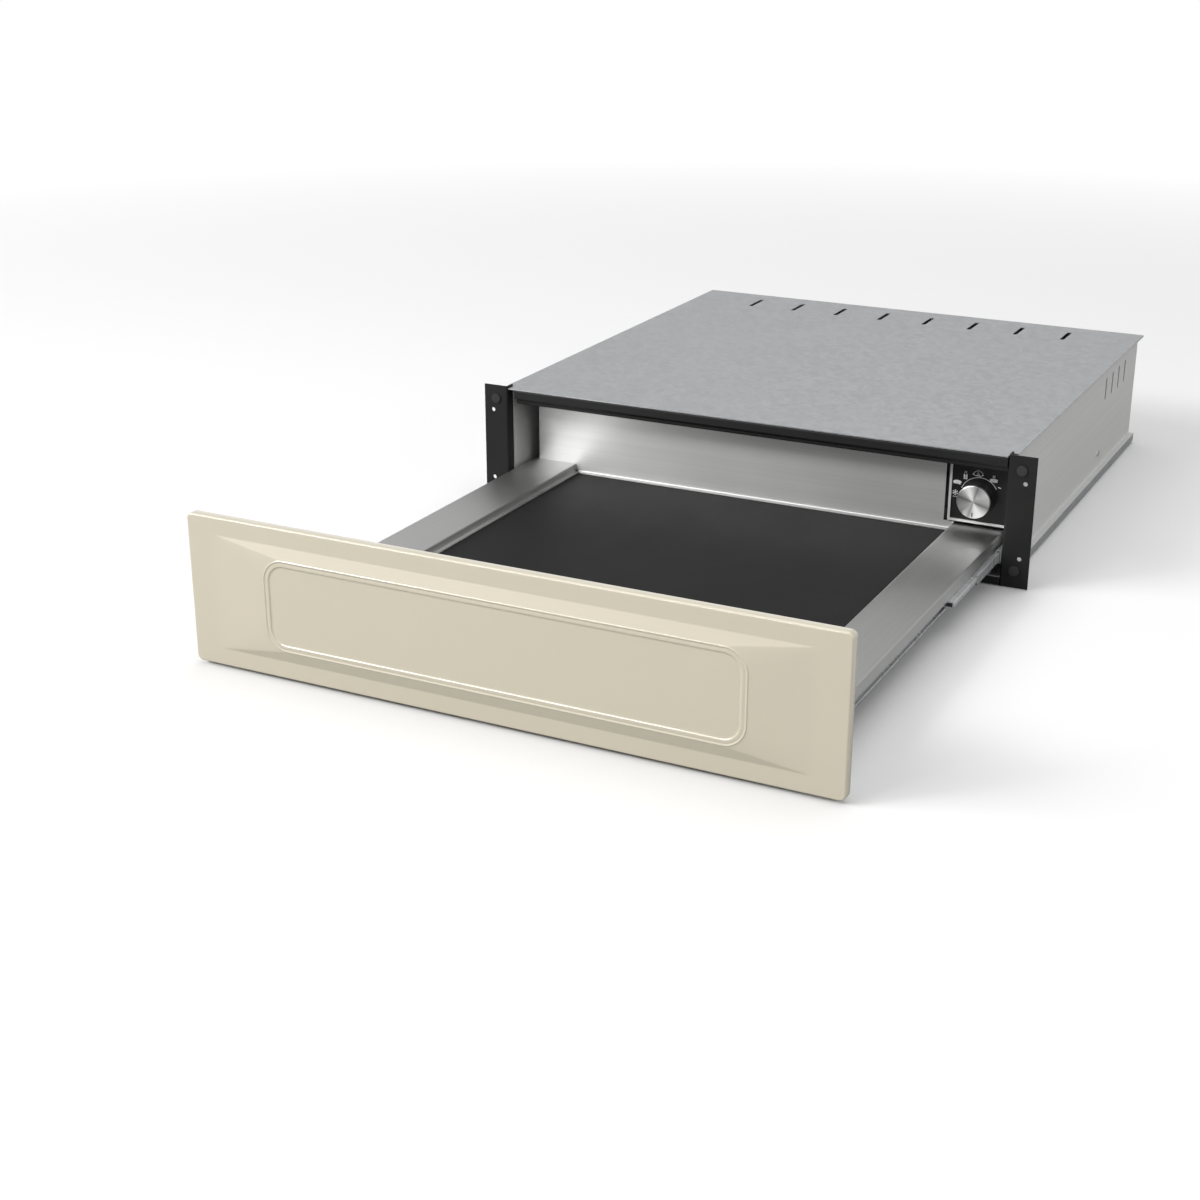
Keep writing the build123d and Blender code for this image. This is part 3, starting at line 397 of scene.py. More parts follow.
zincSheetLook = {
    "dark": (0.50, 0.515, 0.525),
    "light": (0.58, 0.595, 0.605),
    "roughLow": 0.40,
    "roughHigh": 0.48,
    "spangleScale": 190.0,
    "grainDepth": 0.01 * mm,
}


def makeGalvanised():
    look = zincSheetLook
    material, tree, shader, coords = newMaterial("galvanisedSheet", Metallic=1.0)
    zinc = useGroup(tree, coords, spangle, Scale=look["spangleScale"])
    tree.links.new(mixColour(tree, zinc.outputs["Tone"], look["dark"], look["light"]),
                   shader.inputs["Base Color"])
    tree.links.new(mapRange(tree, zinc.outputs["Tone"], look["roughLow"], look["roughHigh"]),
                   shader.inputs["Roughness"])
    bumpFrom(tree, shader, zinc.outputs["Height"], look["grainDepth"])
    return material


plates = {
    # along is how often the drawing lines change along Y, per metre
    "zincRunner": {"dark": (0.56, 0.57, 0.58), "light": (0.76, 0.77, 0.78), "along": 9.0,
                   "metallic": 0.6},
    "zincHardware": {"dark": (0.50, 0.51, 0.53), "light": (0.72, 0.73, 0.75), "along": 300.0,
                     "metallic": 1.0},
    "annealedSheath": {"dark": (0.16, 0.145, 0.13), "light": (0.34, 0.32, 0.30), "along": 200.0,
                       "metallic": 1.0},
}
plateGrain = {
    "across": 900.0,
    "detail": 3.0,
    "depth": 0.008 * mm,
    "rough": (0.22, 0.36),
    "cloudSize": 30.0,
}


def makePlate(name):
    # zinc over rolled steel, with faint drawing lines along Y
    look = plates[name]
    material, tree, shader, coords = newMaterial(name, Metallic=look["metallic"])
    grain = useGroup(tree, coords, brushedGrain, Detail=plateGrain["detail"],
                     Scale=(plateGrain["across"], look["along"], plateGrain["across"]))
    cloud = useGroup(tree, coords, handling, Size=plateGrain["cloudSize"])
    tree.links.new(mixColour(tree, grain.outputs["Tone"], look["dark"], look["light"]),
                   shader.inputs["Base Color"])
    tree.links.new(mapRange(tree, cloud.outputs["Cloud"], *plateGrain["rough"]),
                   shader.inputs["Roughness"])
    bumpFrom(tree, shader, grain.outputs["Height"], plateGrain["depth"])
    return material


coats = {
    # powder coat, mouldings, rubber and print; depth is the grain's, in mm
    "blackPowderCoat": {"dark": grey(0.012), "light": grey(0.020), "rough": (0.42, 0.54), "grain": 1500.0,
                        "depth": 0.02, "specular": 0.20},
    "fasciaBlack": {"dark": grey(0.010), "light": grey(0.015), "rough": (0.34, 0.42), "grain": 2600.0,
                    "depth": 0.008, "specular": 0.30},
    "knobBlack": {"dark": grey(0.012), "light": grey(0.020), "rough": (0.34, 0.44), "grain": 1800.0,
                  "depth": 0.01},
    "blackRubber": {"dark": grey(0.014), "light": grey(0.026), "rough": (0.70, 0.85), "grain": 1200.0,
                    "depth": 0.03},
    "greySilicone": {"dark": (0.42, 0.41, 0.39), "light": (0.55, 0.54, 0.52), "rough": (0.50, 0.62),
                     "grain": 900.0, "depth": 0.02},
    "blackNylon": {"dark": grey(0.016), "light": grey(0.028), "rough": (0.45, 0.58), "grain": 1000.0,
                   "depth": 0.02},
    "naturalNylon": {"dark": (0.60, 0.58, 0.52), "light": (0.72, 0.70, 0.65), "rough": (0.42, 0.55),
                     "grain": 900.0, "depth": 0.02},
    "brownPhenolic": {"dark": (0.050, 0.026, 0.014), "light": (0.095, 0.052, 0.030), "rough": (0.34, 0.48),
                      "grain": 700.0, "depth": 0.02},
    "steatite": {"dark": (0.70, 0.67, 0.60), "light": (0.84, 0.82, 0.76), "rough": (0.62, 0.78),
                 "grain": 1100.0, "depth": 0.03},
    "dialInk": {"dark": grey(0.84), "light": grey(0.94), "rough": (0.45, 0.55), "grain": 3000.0,
                "depth": 0.004},
}


def makeCoated(name):
    look = coats[name]
    material, tree, shader, coords = newMaterial(name, Specular_IOR_Level=look.get("specular", 0.5))
    grain = useGroup(tree, coords, powderGrain, Scale=look["grain"])
    cloud = useGroup(tree, coords, handling, Size=18.0)
    tree.links.new(mixColour(tree, grain.outputs["Tone"], look["dark"], look["light"]),
                   shader.inputs["Base Color"])
    tree.links.new(mapRange(tree, cloud.outputs["Cloud"], *look["rough"]), shader.inputs["Roughness"])
    bumpFrom(tree, shader, grain.outputs["Height"], look["depth"] * mm, strength=0.7)
    return material


matLook = {
    "dark": (0.52, 0.50, 0.44),
    "light": (0.80, 0.79, 0.74),
    "rough": 0.95,
    "across": 260.0,         # fibres per metre
    "along": 60.0,
    "depth": 0.6 * mm,
    "detail": 6.0,
}


def makeMineralMat():
    look = matLook
    material, tree, shader, coords = newMaterial("mineralFibre", Roughness=look["rough"])
    fibres = useGroup(tree, coords, brushedGrain, Detail=look["detail"],
                      Scale=(look["across"], look["along"], look["across"]))
    tree.links.new(mixColour(tree, fibres.outputs["Tone"], look["dark"], look["light"]),
                   shader.inputs["Base Color"])
    bumpFrom(tree, shader, fibres.outputs["Height"], look["depth"], strength=0.8)
    return material


spunLook = {
    # painted highlight: dark and light are the tones of the painted sheen sectors, and of the grooves
    "dark": grey(0.17),
    "light": (0.97, 0.97, 0.965),
    "roughLow": 0.26,
    "roughHigh": 0.36,
    "anisotropic": 0.86,
    "grooves": (6.0, 220.0, 1.0),     # round the face, outwards
    "grooveDepth": 0.01 * mm,
    # painted highlight: how many bright sectors are painted into the face's colour, their turn and softness
    "sheenSectors": 4,
    "sheenSectorTurn": -150.0,             # degrees
    "sheenSectorSoftness": 0.7,
    "paintedSheenShare": 0.75,              # the rest of the tone is the grooves'
}


def makeSpunAluminium():
    # the face is turned: grooves run round the knob's own axis, kept in the piece's UV map
    look = spunLook
    material, tree, shader, _ = newMaterial("spunAluminium", Metallic=1.0,
                                            Anisotropic=look["anisotropic"], Anisotropic_Rotation=0.25)
    uv = addNode(tree, "ShaderNodeUVMap", uv_map="spun")
    tangent = addNode(tree, "ShaderNodeTangent", direction_type="UV_MAP", uv_map="spun")
    tree.links.new(tangent.outputs[0], shader.inputs["Tangent"])
    stretch = addNode(tree, "ShaderNodeVectorMath", operation="MULTIPLY")
    stretch.inputs[1].default_value = look["grooves"]
    tree.links.new(uv.outputs[0], stretch.inputs[0])
    rings = addNode(tree, "ShaderNodeTexNoise", {"Scale": 1.0, "Detail": 4.0, "Roughness": 0.7})
    tree.links.new(stretch.outputs[0], rings.inputs["Vector"])
    # painted highlight: bright and dark sectors are painted into the base colour, standing in for the sheen
    # a turned face shows under lamps
    split = addNode(tree, "ShaderNodeSeparateXYZ")
    tree.links.new(uv.outputs[0], split.inputs[0])
    swing = mathNode(tree, "MULTIPLY_ADD", split.outputs[0], look["sheenSectors"] * math.pi,
                     math.radians(look["sheenSectorTurn"]))
    paintedSheen = mathNode(tree, "POWER", mathNode(tree, "ABSOLUTE", mathNode(tree, "SINE", swing)),
                      look["sheenSectorSoftness"])
    tone = mathNode(tree, "ADD", mathNode(tree, "MULTIPLY", paintedSheen, look["paintedSheenShare"]),
                    mathNode(tree, "MULTIPLY", rings.outputs["Fac"], 1.0 - look["paintedSheenShare"]))
    tree.links.new(mixColour(tree, tone, look["dark"], look["light"]), shader.inputs["Base Color"])
    tree.links.new(mapRange(tree, rings.outputs["Fac"], look["roughLow"], look["roughHigh"]),
                   shader.inputs["Roughness"])
    bumpFrom(tree, shader, rings.outputs["Fac"], look["grooveDepth"])
    return material


lensLook = {
    "dark": (0.26, 0.008, 0.006),
    "light": (0.55, 0.030, 0.022),
    "rough": 0.22,
    "ior": 1.49,
    "coat": 0.5,
    "ribScale": 420.0,
    "ribDepth": 0.04 * mm,
}


def makeRedLens():
    look = lensLook
    material, tree, shader, coords = newMaterial("redLens", Roughness=look["rough"], IOR=look["ior"],
                                                 Coat_Weight=look["coat"])
    ribs = addNode(tree, "ShaderNodeTexWave", {"Scale": look["ribScale"], "Distortion": 0.2},
                   wave_type="BANDS", bands_direction="X")
    tree.links.new(coords, ribs.inputs["Vector"])
    tree.links.new(mixColour(tree, ribs.outputs["Fac"], look["dark"], look["light"]),
                   shader.inputs["Base Color"])
    bumpFrom(tree, shader, ribs.outputs["Fac"], look["ribDepth"])
    return material


stainlessX = makeStainless("stainlessAcross", 0)
stainlessY = makeStainless("stainlessAlong", 1)
# painted shade: the back wall gets a darker copy of the brushed steel, toning down how bright it renders,
# not a different steel
stainlessWall = makeStainless("stainlessWall", 0, anisotropic=0.62, shade=0.84)
stainlessPlate = makeStainless("stainlessPlate", 1, metallic=0.35)
enamel = makeEnamel()
blackGlass = makeBlackGlass()
galvanised = makeGalvanised()
zincRunner, zincHardware, elementSheath = (makePlate(name) for name in plates)
(blackCoat, fasciaCoat, knobPlastic, rubber, silicone, blackNylon, paleNylon, phenolic, steatite,
 dialInk) = (makeCoated(name) for name in coats)
mineralFibre = makeMineralMat()
spunAluminium = makeSpunAluminium()
redLens = makeRedLens()
print("materials made:", len(bpy.data.materials))

finishes = {
    "front_backplate": galvanised, "front_crossmember": galvanised, "front_screws": zincHardware,
    "tray_front_strip": stainlessX, "tray_pan": galvanised, "insulation_mat": mineralFibre,
    "heating_element": elementSheath, "element_clips": galvanised, "element_bushes": steatite,
    "thermal_cutout": phenolic, "glass_support": galvanised, "glass_gasket": silicone,
    "glass_plate": blackGlass, "back_wall": stainlessWall, "rear_crossmember": galvanised,
    "latch_striker": zincHardware, "drawer_rivets": zincHardware,
    "side_cover_left": stainlessY, "side_cover_right": stainlessY,
    "side_rail_left": galvanised, "side_rail_right": galvanised,
    "runner_drawer_left": zincRunner, "runner_drawer_right": zincRunner,
    "runner_middle_left": zincRunner, "runner_middle_right": zincRunner,
    "ball_cage_left": zincRunner, "ball_cage_right": zincRunner,
    "runner_fixed_left": zincRunner, "runner_fixed_right": zincRunner,
    "base_pan": galvanised, "base_feet": rubber, "rear_wall": galvanised, "top_cover": galvanised,
    "top_front_rail": blackCoat, "bottom_front_trim": blackCoat, "front_bumpers": rubber,
    "carcass_rivets": zincHardware, "control_housing": galvanised, "control_fascia": fasciaCoat,
    "control_bezel": stainlessX, "indicator_lens": redLens, "thermostat": phenolic,
    "push_latch": blackNylon, "latch_plunger": paleNylon, "cable_gland": blackNylon,
    "terminal_block": paleNylon, "side_plate_left": stainlessPlate,
    "side_plate_right": stainlessPlate,
    "front_flange_left": blackCoat, "front_flange_right": blackCoat,
    "front_panel": enamel, "knob_skirt": knobPlastic, "knob_cap": spunAluminium,
    "knob_spindle": zincHardware,
}
for name, material in finishes.items():
    for slot in nodes[name].material_slots:
        slot.material = material
print("finishes set on", len(finishes), "nodes")


def finishPiece(name, bm, body, material, sharpAngle=40.0, turnOut=True):
    if turnOut:
        bmesh.ops.recalc_face_normals(bm, faces=bm.faces)
    mesh = bpy.data.meshes.new(name)
    bm.to_mesh(mesh)
    bm.free()
    mesh.polygons.foreach_set("use_smooth", [True] * len(mesh.polygons))
    mesh.set_sharp_from_angle(angle=math.radians(sharpAngle))
    mesh.materials.append(material)
    piece = bpy.data.objects.new(name, mesh)
    bpy.context.scene.collection.objects.link(piece)
    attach(piece, body)
    return piece


frontLook = {
    "rimDepth": 9.0 * mm,
    "sheet": 1.4 * mm,
    "edgeRadius": 1.6 * mm,
    "cornerRadius": 5.5 * mm,
    # the slopes: how far inside the outline they start and end, left/right and above/below
    "footSide": 28.0 * mm,
    "footTop": 16.0 * mm,
    "footRadius": 3.0 * mm,
    "crestSide": 79.4 * mm,
    "crestTop": 27.0 * mm,
    "crestRadius": 20.0 * mm,
    "crestRise": 4.0 * mm,
    "footBlend": 0.07,       # share of a slope over which its foot is rounded
    # the ring's section: mm inside the crest, mm above the flat border
    "ring": [(-0.9, 3.70), (0.0, 4.22), (0.3, 4.22), (1.6, 3.72),
             (3.2, 3.88), (4.4, 3.90), (5.8, 3.16), (6.8, 3.02)],
    "cornerShrink": 0.9,     # of the edge's inset, how much is taken off the corner's radius
    "footSteps": 4,          # below the middle of the foot's rounding, and as many above
    "ringSteps": 5,
    "edgeSteps": 6,
    "cornerSteps": 16,
}


def frontSection():
    # every contour of the pressed front, from the turned rim to the middle field:
    # (inset left/right, inset above/below, corner radius, rise over the flat border)
    look = frontLook
    yield 0.0, 0.0, look["cornerRadius"], -look["rimDepth"]
    for step in range(look["edgeSteps"] + 1):
        angle = math.radians(90.0 * step / look["edgeSteps"])
        inset = look["edgeRadius"] * (1.0 - math.cos(angle))
        radius = look["cornerRadius"] - look["cornerShrink"] * inset
        yield inset, inset, radius, look["edgeRadius"] * (math.sin(angle) - 1.0)
    reachX = look["crestSide"] - look["footSide"]
    reachZ = look["crestTop"] - look["footTop"]
    for step in range(-look["footSteps"], look["footSteps"] + 1):
        share = look["footBlend"] * step / look["footSteps"]
        rise = look["crestRise"] * (share + look["footBlend"]) ** 2 / (4 * look["footBlend"])
        radius = look["footRadius"] + max(share, 0.0) * (look["crestRadius"] - look["footRadius"])
        yield look["footSide"] + share * reachX, look["footTop"] + share * reachZ, radius, rise
    for (fromInset, fromRise), (toInset, toRise) in zip(look["ring"], look["ring"][1:]):
        for step in range(look["ringSteps"]):
            share = step / look["ringSteps"]
            inset = (fromInset + share * (toInset - fromInset)) * mm
            rise = (fromRise + share * share * (3 - 2 * share) * (toRise - fromRise)) * mm
            yield look["crestSide"] + inset, look["crestTop"] + inset, look["crestRadius"] - inset, rise
    inset, rise = (value * mm for value in look["ring"][-1])
    yield look["crestSide"] + inset, look["crestTop"] + inset, look["crestRadius"] - inset, rise


def placeContour(verts, centre, halfSizes, old, new, faceY):
    # the corners keep their arcs: each vertex is moved with the middle of its own corner
    for vert in verts:
        for axis, half in zip((0, 2), halfSizes):
            side = math.copysign(1.0, vert.co[axis] - centre[axis])
            insetBefore, insetAfter = (contour[0 if axis == 0 else 1] for contour in (old, new))
            cornerBefore = centre[axis] + side * (half - insetBefore - old[2])
            cornerAfter = centre[axis] + side * (half - insetAfter - new[2])
            vert.co[axis] = cornerAfter + (vert.co[axis] - cornerBefore) * new[2] / old[2]
        vert.co.y = faceY - new[3]


def buildFront():
    # one contour is drawn, then extruded inwards from contour to contour
    low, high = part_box("front_panel")
    centre = (low + high) / 2
    halfSizes = ((high.x - low.x) / 2, (high.z - low.z) / 2)
    faceY = high.y - frontLook["rimDepth"]
    contours = list(frontSection())
    bm = bmesh.new()
    segments = 4 * frontLook["cornerSteps"]
    halfStep = math.pi / segments
    verts = bmesh.ops.create_circle(bm, cap_ends=False, segments=segments,
                                    radius=contours[0][2] / math.cos(halfStep))["verts"]
    bmesh.ops.rotate(bm, matrix=Matrix.Rotation(halfStep, 3, "Z"), verts=verts)
    bmesh.ops.rotate(bm, matrix=Matrix.Rotation(math.radians(90.0), 3, "X"), verts=verts)
    bmesh.ops.translate(bm, vec=centre, verts=verts)
    start = (halfSizes[0] - contours[0][2], halfSizes[1] - contours[0][2], contours[0][2], 0.0)
    placeContour(verts, centre, halfSizes, start, contours[0], faceY)
    edges = bm.edges[:]
    for old, new in zip(contours, contours[1:]):
        made = bmesh.ops.extrude_edge_only(bm, edges=edges)["geom"]
        verts = {item for item in made if isinstance(item, bmesh.types.BMVert)}
        edges = [item for item in made
                 if isinstance(item, bmesh.types.BMEdge) and verts.issuperset(item.verts)]
        placeContour(verts, centre, halfSizes, old, new, faceY)
    field = bmesh.ops.contextual_create(bm, geom=edges)["faces"][0]
    bmesh.ops.recalc_face_normals(bm, faces=bm.faces)
    field.normal_update()
    if field.normal.y > 0.0:
        bmesh.ops.reverse_faces(bm, faces=bm.faces)
    piece = finishPiece("enamelledFront", bm, "drawer", enamel,
                        sharpAngle=60.0, turnOut=False)
    thickness = piece.modifiers.new("sheet", "SOLIDIFY")
    thickness.thickness = frontLook["sheet"]
    thickness.offset = -1.0
    weighted = piece.modifiers.new("evenShade", "WEIGHTED_NORMAL")
    weighted.keep_sharp = True
    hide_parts("front_panel")
    return piece


front = buildFront()
print("front built:", len(front.data.polygons), "faces")


knobLook = {
    "dimple": (0.15 * mm, 0.10 * mm),   # radius and depth of the mark left at the turning centre
    "faceRings": (0.35, 0.7),           # shares of the radius
    "edgeRound": 0.8 * mm,
    "edgeSteps": 5,
    "backChamfer": 0.3 * mm,
    "backLand": 3.0 * mm,
    "turns": 96,
    "pointerWidth": 1.2 * mm,
    "pointerLength": 4.6 * mm,
    "pointerThickness": 0.5 * mm,
    "pointerInset": 1.5 * mm,           # from the cap's rim
    "pointerSunk": 0.22 * mm,           # its middle, behind the cap's face
    "pointerRound": 0.12 * mm,
}


def spinProfile(bm, points, axisX, axisZ, steps):
    # points are (radius, y); the profile is spun a full turn about the knob's axis
    verts = [bm.verts.new((axisX + radius, y, axisZ)) for radius, y in points]
    edges = [bm.edges.new(pair) for pair in zip(verts, verts[1:])]
    bmesh.ops.spin(bm, geom=verts + edges, cent=(axisX, 0.0, axisZ), axis=(0.0, 1.0, 0.0),
                   angle=math.radians(360.0), steps=steps, use_merge=True, use_duplicate=False)
    bmesh.ops.remove_doubles(bm, verts=bm.verts, dist=0.01 * mm)


def addSpunMap(piece, axisX, axisZ, reach):
    # U runs round the axis and V outwards, so the turning marks follow the face
    layer = piece.data.uv_layers.new(name="spun")
    for loop in piece.data.loops:
        place = piece.data.vertices[loop.vertex_index].co
        dx = place.x - axisX
        dz = place.z - axisZ
        layer.data[loop.index].uv = (math.atan2(dz, dx) / math.tau + 0.5, math.hypot(dx, dz) / reach)
    for face in piece.data.polygons:
        us = [layer.data[i].uv[0] for i in face.loop_indices]
        if max(us) - min(us) > 0.5:
            for i in face.loop_indices:
                if layer.data[i].uv[0] < 0.5:
                    layer.data[i].uv = (layer.data[i].uv[0] + 1.0, layer.data[i].uv[1])


def buildKnob():
    look = knobLook
    low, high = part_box("knob_cap")
    axisX = (low.x + high.x) / 2
    axisZ = (low.z + high.z) / 2
    radius = (high.x - low.x) / 2
    near, back = low.y, high.y
    bm = bmesh.new()
    points = [(look["dimple"][0], near + look["dimple"][1])]
    points += [(radius * share, near) for share in look["faceRings"]]
    for step in range(look["edgeSteps"] + 1):
        angle = math.radians(90.0 * step / look["edgeSteps"])
        points.append((radius - look["edgeRound"] * (1 - math.sin(angle)),
                       near + look["edgeRound"] * (1 - math.cos(angle))))
    points += [(radius, back - look["backChamfer"]), (radius - look["backChamfer"], back),
               (radius - look["backLand"], back)]
    spinProfile(bm, points, axisX, axisZ, look["turns"])
    cap = finishPiece("knobFace", bm, "knob", spunAluminium, sharpAngle=50.0)
    addSpunMap(cap, axisX, axisZ, radius)
    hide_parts("knob_cap")
    bm = bmesh.new()
    size = (look["pointerWidth"], look["pointerThickness"], look["pointerLength"])
    middle = (axisX, near + look["pointerSunk"],
              axisZ - radius + look["pointerInset"] + look["pointerLength"] / 2)
    verts = bmesh.ops.create_cube(bm, size=1.0)["verts"]
    bmesh.ops.scale(bm, vec=size, verts=verts)
    bmesh.ops.translate(bm, vec=middle, verts=verts)
    bmesh.ops.bevel(bm, geom=bm.edges[:], offset=look["pointerRound"], offset_type="OFFSET", segments=2,
                    profile=0.5, affect="EDGES", material=-1)
    finishPiece("knobPointer", bm, "knob", knobPlastic)
    return axisX, axisZ


knobX, knobZ = buildKnob()
print("knob built")


dialLook = {
    "ink": 0.05 * mm,
    "bold": 1.55,            # how much thicker than drawn the lines are
    "lap": 0.6,              # how far a line runs past its places, in widths
    "sharpAngle": 30.0,
    # all in mm and degrees about the knob's axis
    "arcRadius": 19.0,
    "arcWidth": 0.75,
    "arcFrom": 31.0,
    "arcTo": 160.0,
    "arcSteps": 36,
    "cup": (-14.9, 18.7),
    "dome": (-2.4, 22.5),
    "bowl": (13.2, 19.7),
    "loaf": (-22.6, 11.5),
    "flake": (-24.0, 0.9),
    "tick": (19.3, 11.5),
}
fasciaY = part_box("control_fascia")[0].y


def stroke(bm, start, end, width):
    # a flat bar of ink between two places; the drawings are in mm about their own middles
    a = Vector((start[0] * mm, 0.0, start[1] * mm))
    b = Vector((end[0] * mm, 0.0, end[1] * mm))
    breadth = width * dialLook["bold"] * mm
    size = ((b - a).length + breadth * dialLook["lap"], dialLook["ink"], breadth)
    turn = math.atan2(b.z - a.z, b.x - a.x)
    verts = bmesh.ops.create_cube(bm, size=1.0)["verts"]
    bmesh.ops.scale(bm, vec=size, verts=verts)
    bmesh.ops.rotate(bm, matrix=Matrix.Rotation(-turn, 3, "Y"), verts=verts)
    bmesh.ops.translate(bm, vec=(a + b) / 2, verts=verts)


def inkDisc(bm, centre, radiusX, radiusZ, steps=20):
    verts = bmesh.ops.create_cone(bm, cap_ends=True, segments=steps, radius1=1.0, radius2=1.0,
                                  depth=1.0)["verts"]
    bmesh.ops.rotate(bm, matrix=Matrix.Rotation(math.radians(90.0), 3, "X"), verts=verts)
    bmesh.ops.scale(bm, vec=(radiusX * mm, dialLook["ink"], radiusZ * mm), verts=verts)
    bmesh.ops.translate(bm, vec=(centre[0] * mm, 0.0, centre[1] * mm), verts=verts)


def inkArc(bm, centre, radius, width, fromDegrees, toDegrees, steps):
    places = []
    for step in range(steps + 1):
        angle = math.radians(fromDegrees + (toDegrees - fromDegrees) * step / steps)
        places.append((centre[0] + radius * math.cos(angle), centre[1] + radius * math.sin(angle)))
    for start, end in zip(places, places[1:]):
        stroke(bm, start, end, width)


def steam(bm, x, z, height):
    for side in (-1, 1):
        mid = (x + side * 0.55, z + height * 0.5)
        stroke(bm, (x + side * 0.95, z), mid, 0.32)
        stroke(bm, mid, (x + side * 0.95, z + height), 0.32)


def drawCup(bm):
    for dx in (-1.5, 1.5):
        stroke(bm, (dx, -2.6), (dx, 1.9), 0.5)
    stroke(bm, (-1.5, -2.7), (1.5, -2.7), 0.6)
    for dx in (-0.7, 0.5):
        stroke(bm, (dx, -1.6), (dx, 1.2), 0.5)
    steam(bm, 0.0, 2.8, 2.2)


def drawDome(bm):
    inkArc(bm, (0.0, -2.0), 5.0, 0.55, 22.0, 158.0, 12)
    stroke(bm, (-5.2, -0.6), (-3.6, -1.6), 0.5)
    stroke(bm, (5.2, -0.6), (3.6, -1.6), 0.5)
    inkDisc(bm, (0.0, -1.9), 3.4, 0.55)
    stroke(bm, (0.0, 0.0), (0.0, 1.6), 0.4)
    stroke(bm, (-1.1, -0.4), (0.0, 0.5), 0.4)
    stroke(bm, (1.1, -0.4), (0.0, 0.5), 0.4)
    inkDisc(bm, (0.0, 3.5), 0.7, 0.6, 12)


def drawBowl(bm):
    inkDisc(bm, (0.0, -0.9), 3.9, 0.9)
    stroke(bm, (-3.0, -2.2), (3.0, -2.2), 1.5)
    stroke(bm, (-2.0, -3.2), (2.0, -3.2), 0.6)
    steam(bm, 0.0, 0.8, 2.4)


def drawLoaf(bm):
    inkDisc(bm, (0.0, 0.3), 4.2, 1.9, 28)
    stroke(bm, (-3.6, -1.2), (3.2, -1.7), 0.5)


def drawFlake(bm):
    for angle in (90.0, 30.0, 150.0):
        dx = 2.6 * math.cos(math.radians(angle))
        dz = 2.6 * math.sin(math.radians(angle))
        stroke(bm, (-dx, -dz), (dx, dz), 0.42)
        for side in (-1, 1):
            tip = (side * dx * 0.62, side * dz * 0.62)
            for spread in (35.0, -35.0):
                away = math.radians(angle + spread + (180.0 if side < 0 else 0.0))
                stroke(bm, tip, (tip[0] + 1.0 * math.cos(away), tip[1] + 1.0 * math.sin(away)), 0.34)
    for dx in (-1.6, 0.0, 1.6):
        inkDisc(bm, (dx, -4.3), 0.42, 0.42, 10)


def drawTick(bm):
    stroke(bm, (-1.2, 0.3), (1.2, -0.3), 0.55)


def printInk(name, bm, dx, dz):
    bmesh.ops.translate(bm, verts=bm.verts, vec=(knobX + dx * mm, fasciaY, knobZ + dz * mm))
    finishPiece(name, bm, "carcass", dialInk, sharpAngle=dialLook["sharpAngle"])


def buildDial():
    drawings = {"cup": drawCup, "dome": drawDome, "bowl": drawBowl, "loaf": drawLoaf,
                "flake": drawFlake, "tick": drawTick}
    for name, draw in drawings.items():
        bm = bmesh.new()
        draw(bm)
        printInk("dial" + name.capitalize(), bm, *dialLook[name])
    bm = bmesh.new()
    inkArc(bm, (0.0, 0.0), dialLook["arcRadius"], dialLook["arcWidth"] / dialLook["bold"],
           dialLook["arcFrom"], dialLook["arcTo"], dialLook["arcSteps"])
    printInk("dialArc", bm, 0.0, 0.0)


buildDial()
print("dial printed")


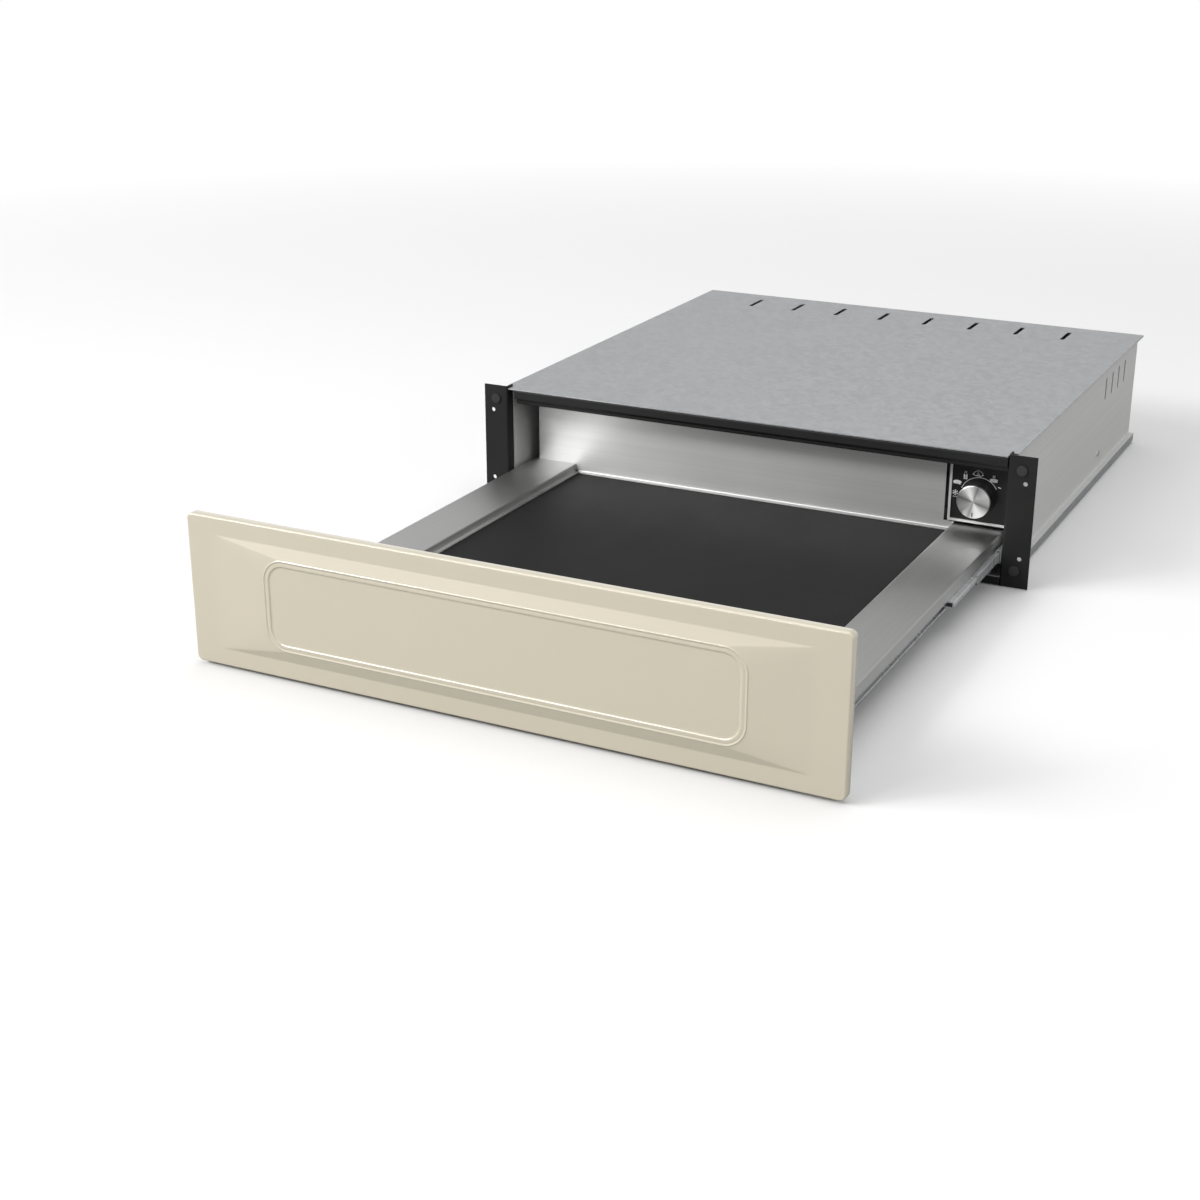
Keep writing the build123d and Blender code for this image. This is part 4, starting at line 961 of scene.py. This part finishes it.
def addFloor():
    # pale and matt round the drawer; seen from afar it passes into the white backdrop
    bm = bmesh.new()
    bmesh.ops.create_grid(bm, x_segments=2, y_segments=2, size=view["floorSize"] / 2)
    bmesh.ops.translate(bm, verts=bm.verts, vec=(0.0, 0.0, -view["floorDrop"]))
    mesh = bpy.data.meshes.new("floor")
    bm.to_mesh(mesh)
    bm.free()
    material, tree, shader, coords = newMaterial("paleFloor", Roughness=view["floorRough"])
    path = addNode(tree, "ShaderNodeLightPath")
    tree.links.new(mixColour(tree, path.outputs["Is Camera Ray"], view["floorBounce"], view["floorColour"]),
                   shader.inputs["Base Color"])
    reach = addNode(tree, "ShaderNodeVectorMath", operation="LENGTH")
    tree.links.new(coords, reach.inputs[0])
    far = mapRange(tree, reach.outputs["Value"], 0.0, 1.0, view["fadeFrom"], view["fadeTo"])
    faded = mathNode(tree, "MULTIPLY", far, path.outputs["Is Camera Ray"])
    backdrop = addNode(tree, "ShaderNodeEmission")
    seen = mixShaders(tree, faded, shader.outputs[0], backdrop.outputs[0])
    tree.links.new(seen, tree.nodes["Material Output"].inputs["Surface"])
    mesh.materials.append(material)
    floor = bpy.data.objects.new("floor", mesh)
    bpy.context.scene.collection.objects.link(floor)


studio = {
    "ambient": 0.50,         # soft light from all round on matt things
    # what polished things see: grey levels from the horizon to overhead
    "levels": [(0.0, 1.0), (0.10, 0.85), (0.30, 0.40), (0.70, 0.62), (1.0, 0.9)],
    "frontGlow": 0.5,        # how much brighter it is in front
    "leftGlow": 1.2,         # and how much more to the left of that
    "front": (-0.35, -0.85),   # along Y, where the glow starts and is full
    "left": (-0.26, -0.50),    # and along X
}


def setWorld():
    # seen directly it is white, polished steel sees a studio gradient, and matt things get an even light
    look = studio
    world = bpy.data.worlds.new("studio")
    bpy.context.scene.world = world
    world.use_nodes = True
    tree = world.node_tree
    even = tree.nodes["Background"]
    even.inputs["Color"].default_value = (1.0, 1.0, 1.0, 1.0)
    even.inputs["Strength"].default_value = look["ambient"]
    coords = addNode(tree, "ShaderNodeTexCoord")
    split = addNode(tree, "ShaderNodeSeparateXYZ")
    tree.links.new(coords.outputs["Generated"], split.inputs[0])
    ramp = rampNode(tree, look["levels"])
    tree.links.new(split.outputs["Z"], ramp.inputs[0])
    ahead = mapRange(tree, split.outputs["Y"], 0.0, 1.0, *look["front"])
    left = mapRange(tree, split.outputs["X"], look["frontGlow"], look["frontGlow"] + look["leftGlow"],
                    *look["left"])
    glow = mathNode(tree, "ADD", mathNode(tree, "MULTIPLY", ahead, left), 1.0)
    gradient = addNode(tree, "ShaderNodeBackground")
    tree.links.new(ramp.outputs[0], gradient.inputs["Color"])
    tree.links.new(glow, gradient.inputs["Strength"])
    white = addNode(tree, "ShaderNodeBackground", {"Color": (1.0, 1.0, 1.0, 1.0)})
    path = addNode(tree, "ShaderNodeLightPath")
    lit = mixShaders(tree, path.outputs["Is Glossy Ray"], even.outputs[0], gradient.outputs[0])
    seen = mixShaders(tree, path.outputs["Is Camera Ray"], lit, white.outputs[0])
    tree.links.new(seen, tree.nodes["World Output"].inputs["Surface"])


addCamera()
addLamps()
addFloor()
setWorld()
bpy.context.scene.view_settings.view_transform = "Standard"
print("stage set")
